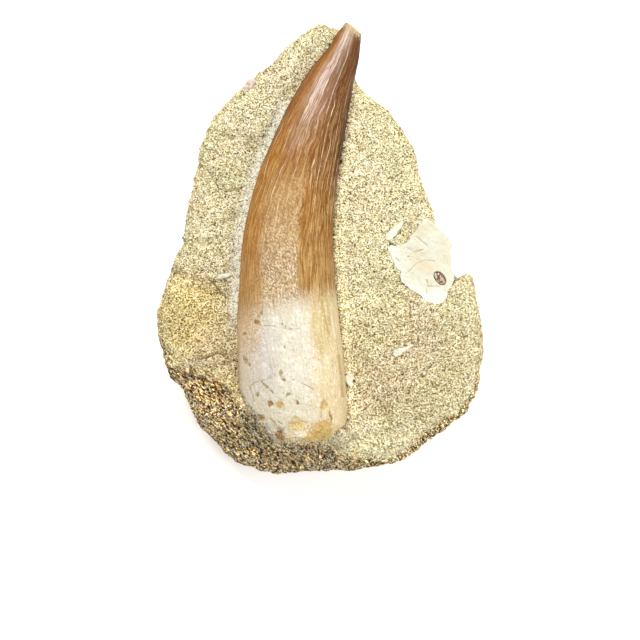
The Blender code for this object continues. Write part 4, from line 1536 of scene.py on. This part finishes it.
# %% Tooth material
def tooth_material():
    """Crown and root along one streaky border, with cracks, bump and polish."""
    made, here = start_material("fossil_enamel_and_root")
    at = ToothPatterns(here)
    tip = fade(at.y + 2.4 * at.speck + 0.7 * at.x, 36.3, 37.3)
    border = at.y - 0.24 * at.x - 1.8 * at.streak - 2.4 * at.fine - 2.4 * at.speck + 0.5
    crown_here = fade(border, -12.2, -7.6)
    cracks = near_lines(here, ROOT_CRACKS, 0.24, 0.24 * cloud(here, 1.9, 3.0)) * fade(at.z, 15.0, 16.0)
    cracks = cracks * (1 - crown_here) * (0.30 + 0.70 * fade(cloud(here, 1.6, 3.0), 0.40, 0.56))
    body = blend(root_colour(at), crown_colour(at, tip), crown_here)
    body = blend(body, (0.26, 0.20, 0.12), cracks * 0.75)

    gloss = 0.48 - 0.12 * fade(at.y, 4.0, 18.0) * (1 - tip) + 0.20 * (1 - crown_here) + 0.10 * at.crackle
    height = 0.65 * at.crackle * fade(at.y, 22.0, 8.0) + 0.45 * at.fine * crown_here \
        + 0.3 * at.hair * crown_here + 0.5 * at.crest * at.lasting - 0.5 * cracks
    polish = fade(at.y + 7 * at.streak, 14.0, 27.0) * fade(at.side + 0.2 * at.fine, 0.56, 0.20) \
        * fade(at.side, -0.80, -0.48) * (1 - tip) * (0.30 + 0.62 * fade(at.hair, 0.36, 0.58))
    shader = made.node_tree.nodes["Principled BSDF"]
    made.node_tree.links.new(polish.socket, shader.inputs["Coat Weight"])
    shader.inputs["Coat Roughness"].default_value = 0.39
    shader.inputs["Coat IOR"].default_value = 1.9
    return finish_material(made, body, gloss, height, 0.12, 0.10)


tooth.data.materials.append(tooth_material())
print("tooth material", len(tooth.data.materials[0].node_tree.nodes), "nodes")

# %% [markdown]
# ## Bone, nodule and shell
#
# The bone is nearly white, warmed by the rock's dust in its cracks and around its rim. The nodule
# is chestnut and polished, with pale scratches. The flake on the edge is a pinkish bit of shell.

# %% Bone materials
def splinter_shade(here, shade):
    """Plain bone, paler in patches."""
    return blend(shade, (0.81, 0.79, 0.64), fade(cloud(here, 1.1, 3.0), 0.36, 0.56) * 0.9)


def plate_shade(here, shade):
    """Bone with a pale rim, cracks, dark specks, a warm middle and a dark pit, partly painted shade."""
    rim = spot_at(here, 17.0, -0.3, 5.0, 5.6) + 0.9 * cloud(here, 1.4, 3.0)
    off_left_end = fade(spot_at(here, 12.0, -2.0, 4.5, 4.0), 0.6, 1.2)
    warm = fade(spot_at(here, 15.9, -2.4, 2.4, 1.3) + 0.7 * cloud(here, 1.2, 3.0), 1.5, 0.8)
    return paint(
        shade,
        ((0.82, 0.82, 0.75),
         fade(rim, 1.30, 1.70) * (0.35 + 0.5 * fade(cloud(here, 2.6, 2.0), 0.42, 0.54))),
        ((0.30, 0.25, 0.16),
         near_lines(here, BONE_CRACKS, 0.22, 0.22 * cloud(here, 1.6, 2.0)) * 0.75),
        ((0.34, 0.25, 0.15), fade(cloud(here, 4.0, 2.0, 0.7) + 0.05 * off_left_end, 0.42, 0.35) * 0.7),
        ((0.66, 0.53, 0.38), warm * 0.45),
        # The dark pit round the nodule: partly brown rock, partly painted shade in the gap.
        ((0.20, 0.12, 0.06), fade(read(here, "pit"), 0.4, 0.8)))


def bone_material(name, marks):
    """Old bone. marks adds what this piece of bone has on it."""
    made, here = start_material(name)
    shade = blend((0.65, 0.645, 0.51), (0.64, 0.58, 0.42), fade(cloud(here, 0.5, 4.0), 0.42, 0.66))
    shade = blend(shade, (0.66, 0.54, 0.38), fade(cloud(here, 1.8, 4.0, 0.7), 0.56, 0.72) * 0.45)
    return finish_material(made, marks(here, shade), 0.6, cloud(here, 3.0, 3.0), 0.06)


plate.data.materials.append(bone_material("pale_bone_plate", plate_shade))
splinter_bone = bone_material("pale_bone_splinters", splinter_shade)
print("bone materials", plate.data.materials[0].name, splinter_bone.name)


# %% Nodule and shell materials
def nodule_material():
    """Chestnut with pale scratches and one lighter patch, polished."""
    made, here = start_material("polished_brown_nodule")
    shade = blend((0.16, 0.07, 0.03), (0.60, 0.55, 0.44), fade(cloud(here, 2.4, 3.0), 0.45, 0.54))
    patch = fade(spot_at(here, 18.45, -4.7, 0.4, 0.8), 1.1, 0.7)
    shade = blend(shade, (0.36, 0.19, 0.07), patch * 0.5)
    return finish_material(made, shade, 0.22, cloud(here, 3.0, 3.0), 0.05)


def shell_material():
    """Pinkish shell, paler in patches."""
    made, here = start_material("pink_shell_flake")
    shade = blend((0.46, 0.28, 0.23), (0.68, 0.55, 0.46), fade(cloud(here, 1.6, 3.0), 0.35, 0.60))
    return finish_material(made, shade, 0.6, cloud(here, 3.0, 3.0), 0.05)


nodule.data.materials.append(nodule_material())
for node, piece in splinters.items():
    piece.data.materials.append(shell_material() if node == SHELL_FLAKE else splinter_bone)
print("splinter materials", [piece.data.materials[0].name for piece in splinters.values()])

# %% [markdown]
# The floor is white paper that is lit a little from below, as on a light table. That keeps it white
# up to the foot of the rock, where a plain floor would be grey with shadow.

# %% Floor material
def floor_material():
    """White paper with a faint light of its own."""
    made, here = start_material("white_paper")
    shade = blend((0.90, 0.90, 0.895), (0.915, 0.915, 0.91), cloud(here, 0.01, 2.0))
    glowing = made.node_tree.nodes["Principled BSDF"]
    glowing.inputs["Emission Color"].default_value = (*WHITE, 1)
    glowing.inputs["Emission Strength"].default_value = 0.35
    return finish_material(made, shade, 0.9, specular=0.0)


floor.data.materials.append(floor_material())
print("floor", floor.data.materials[0].name)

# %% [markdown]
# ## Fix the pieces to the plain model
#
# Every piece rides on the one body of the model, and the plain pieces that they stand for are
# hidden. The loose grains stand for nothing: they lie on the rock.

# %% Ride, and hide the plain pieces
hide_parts("matrix_rock")
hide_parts("tooth")
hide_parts("bone_plate")
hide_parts("brown_nodule")
slots = {rock: "phosphate_rock", tooth: "fossil_tooth", plate: "pale_bone", nodule: "brown_phosphate"}
for node, piece in splinters.items():
    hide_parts(node)
    slots[piece] = "pink_shell" if node == SHELL_FLAKE else "pale_bone"
for piece in grains:
    slots[piece] = "phosphate_rock"
for piece, slot in slots.items():
    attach(piece, "root")
print("pieces", len(slots), "triangles", sum(triangles(piece) for piece in slots))
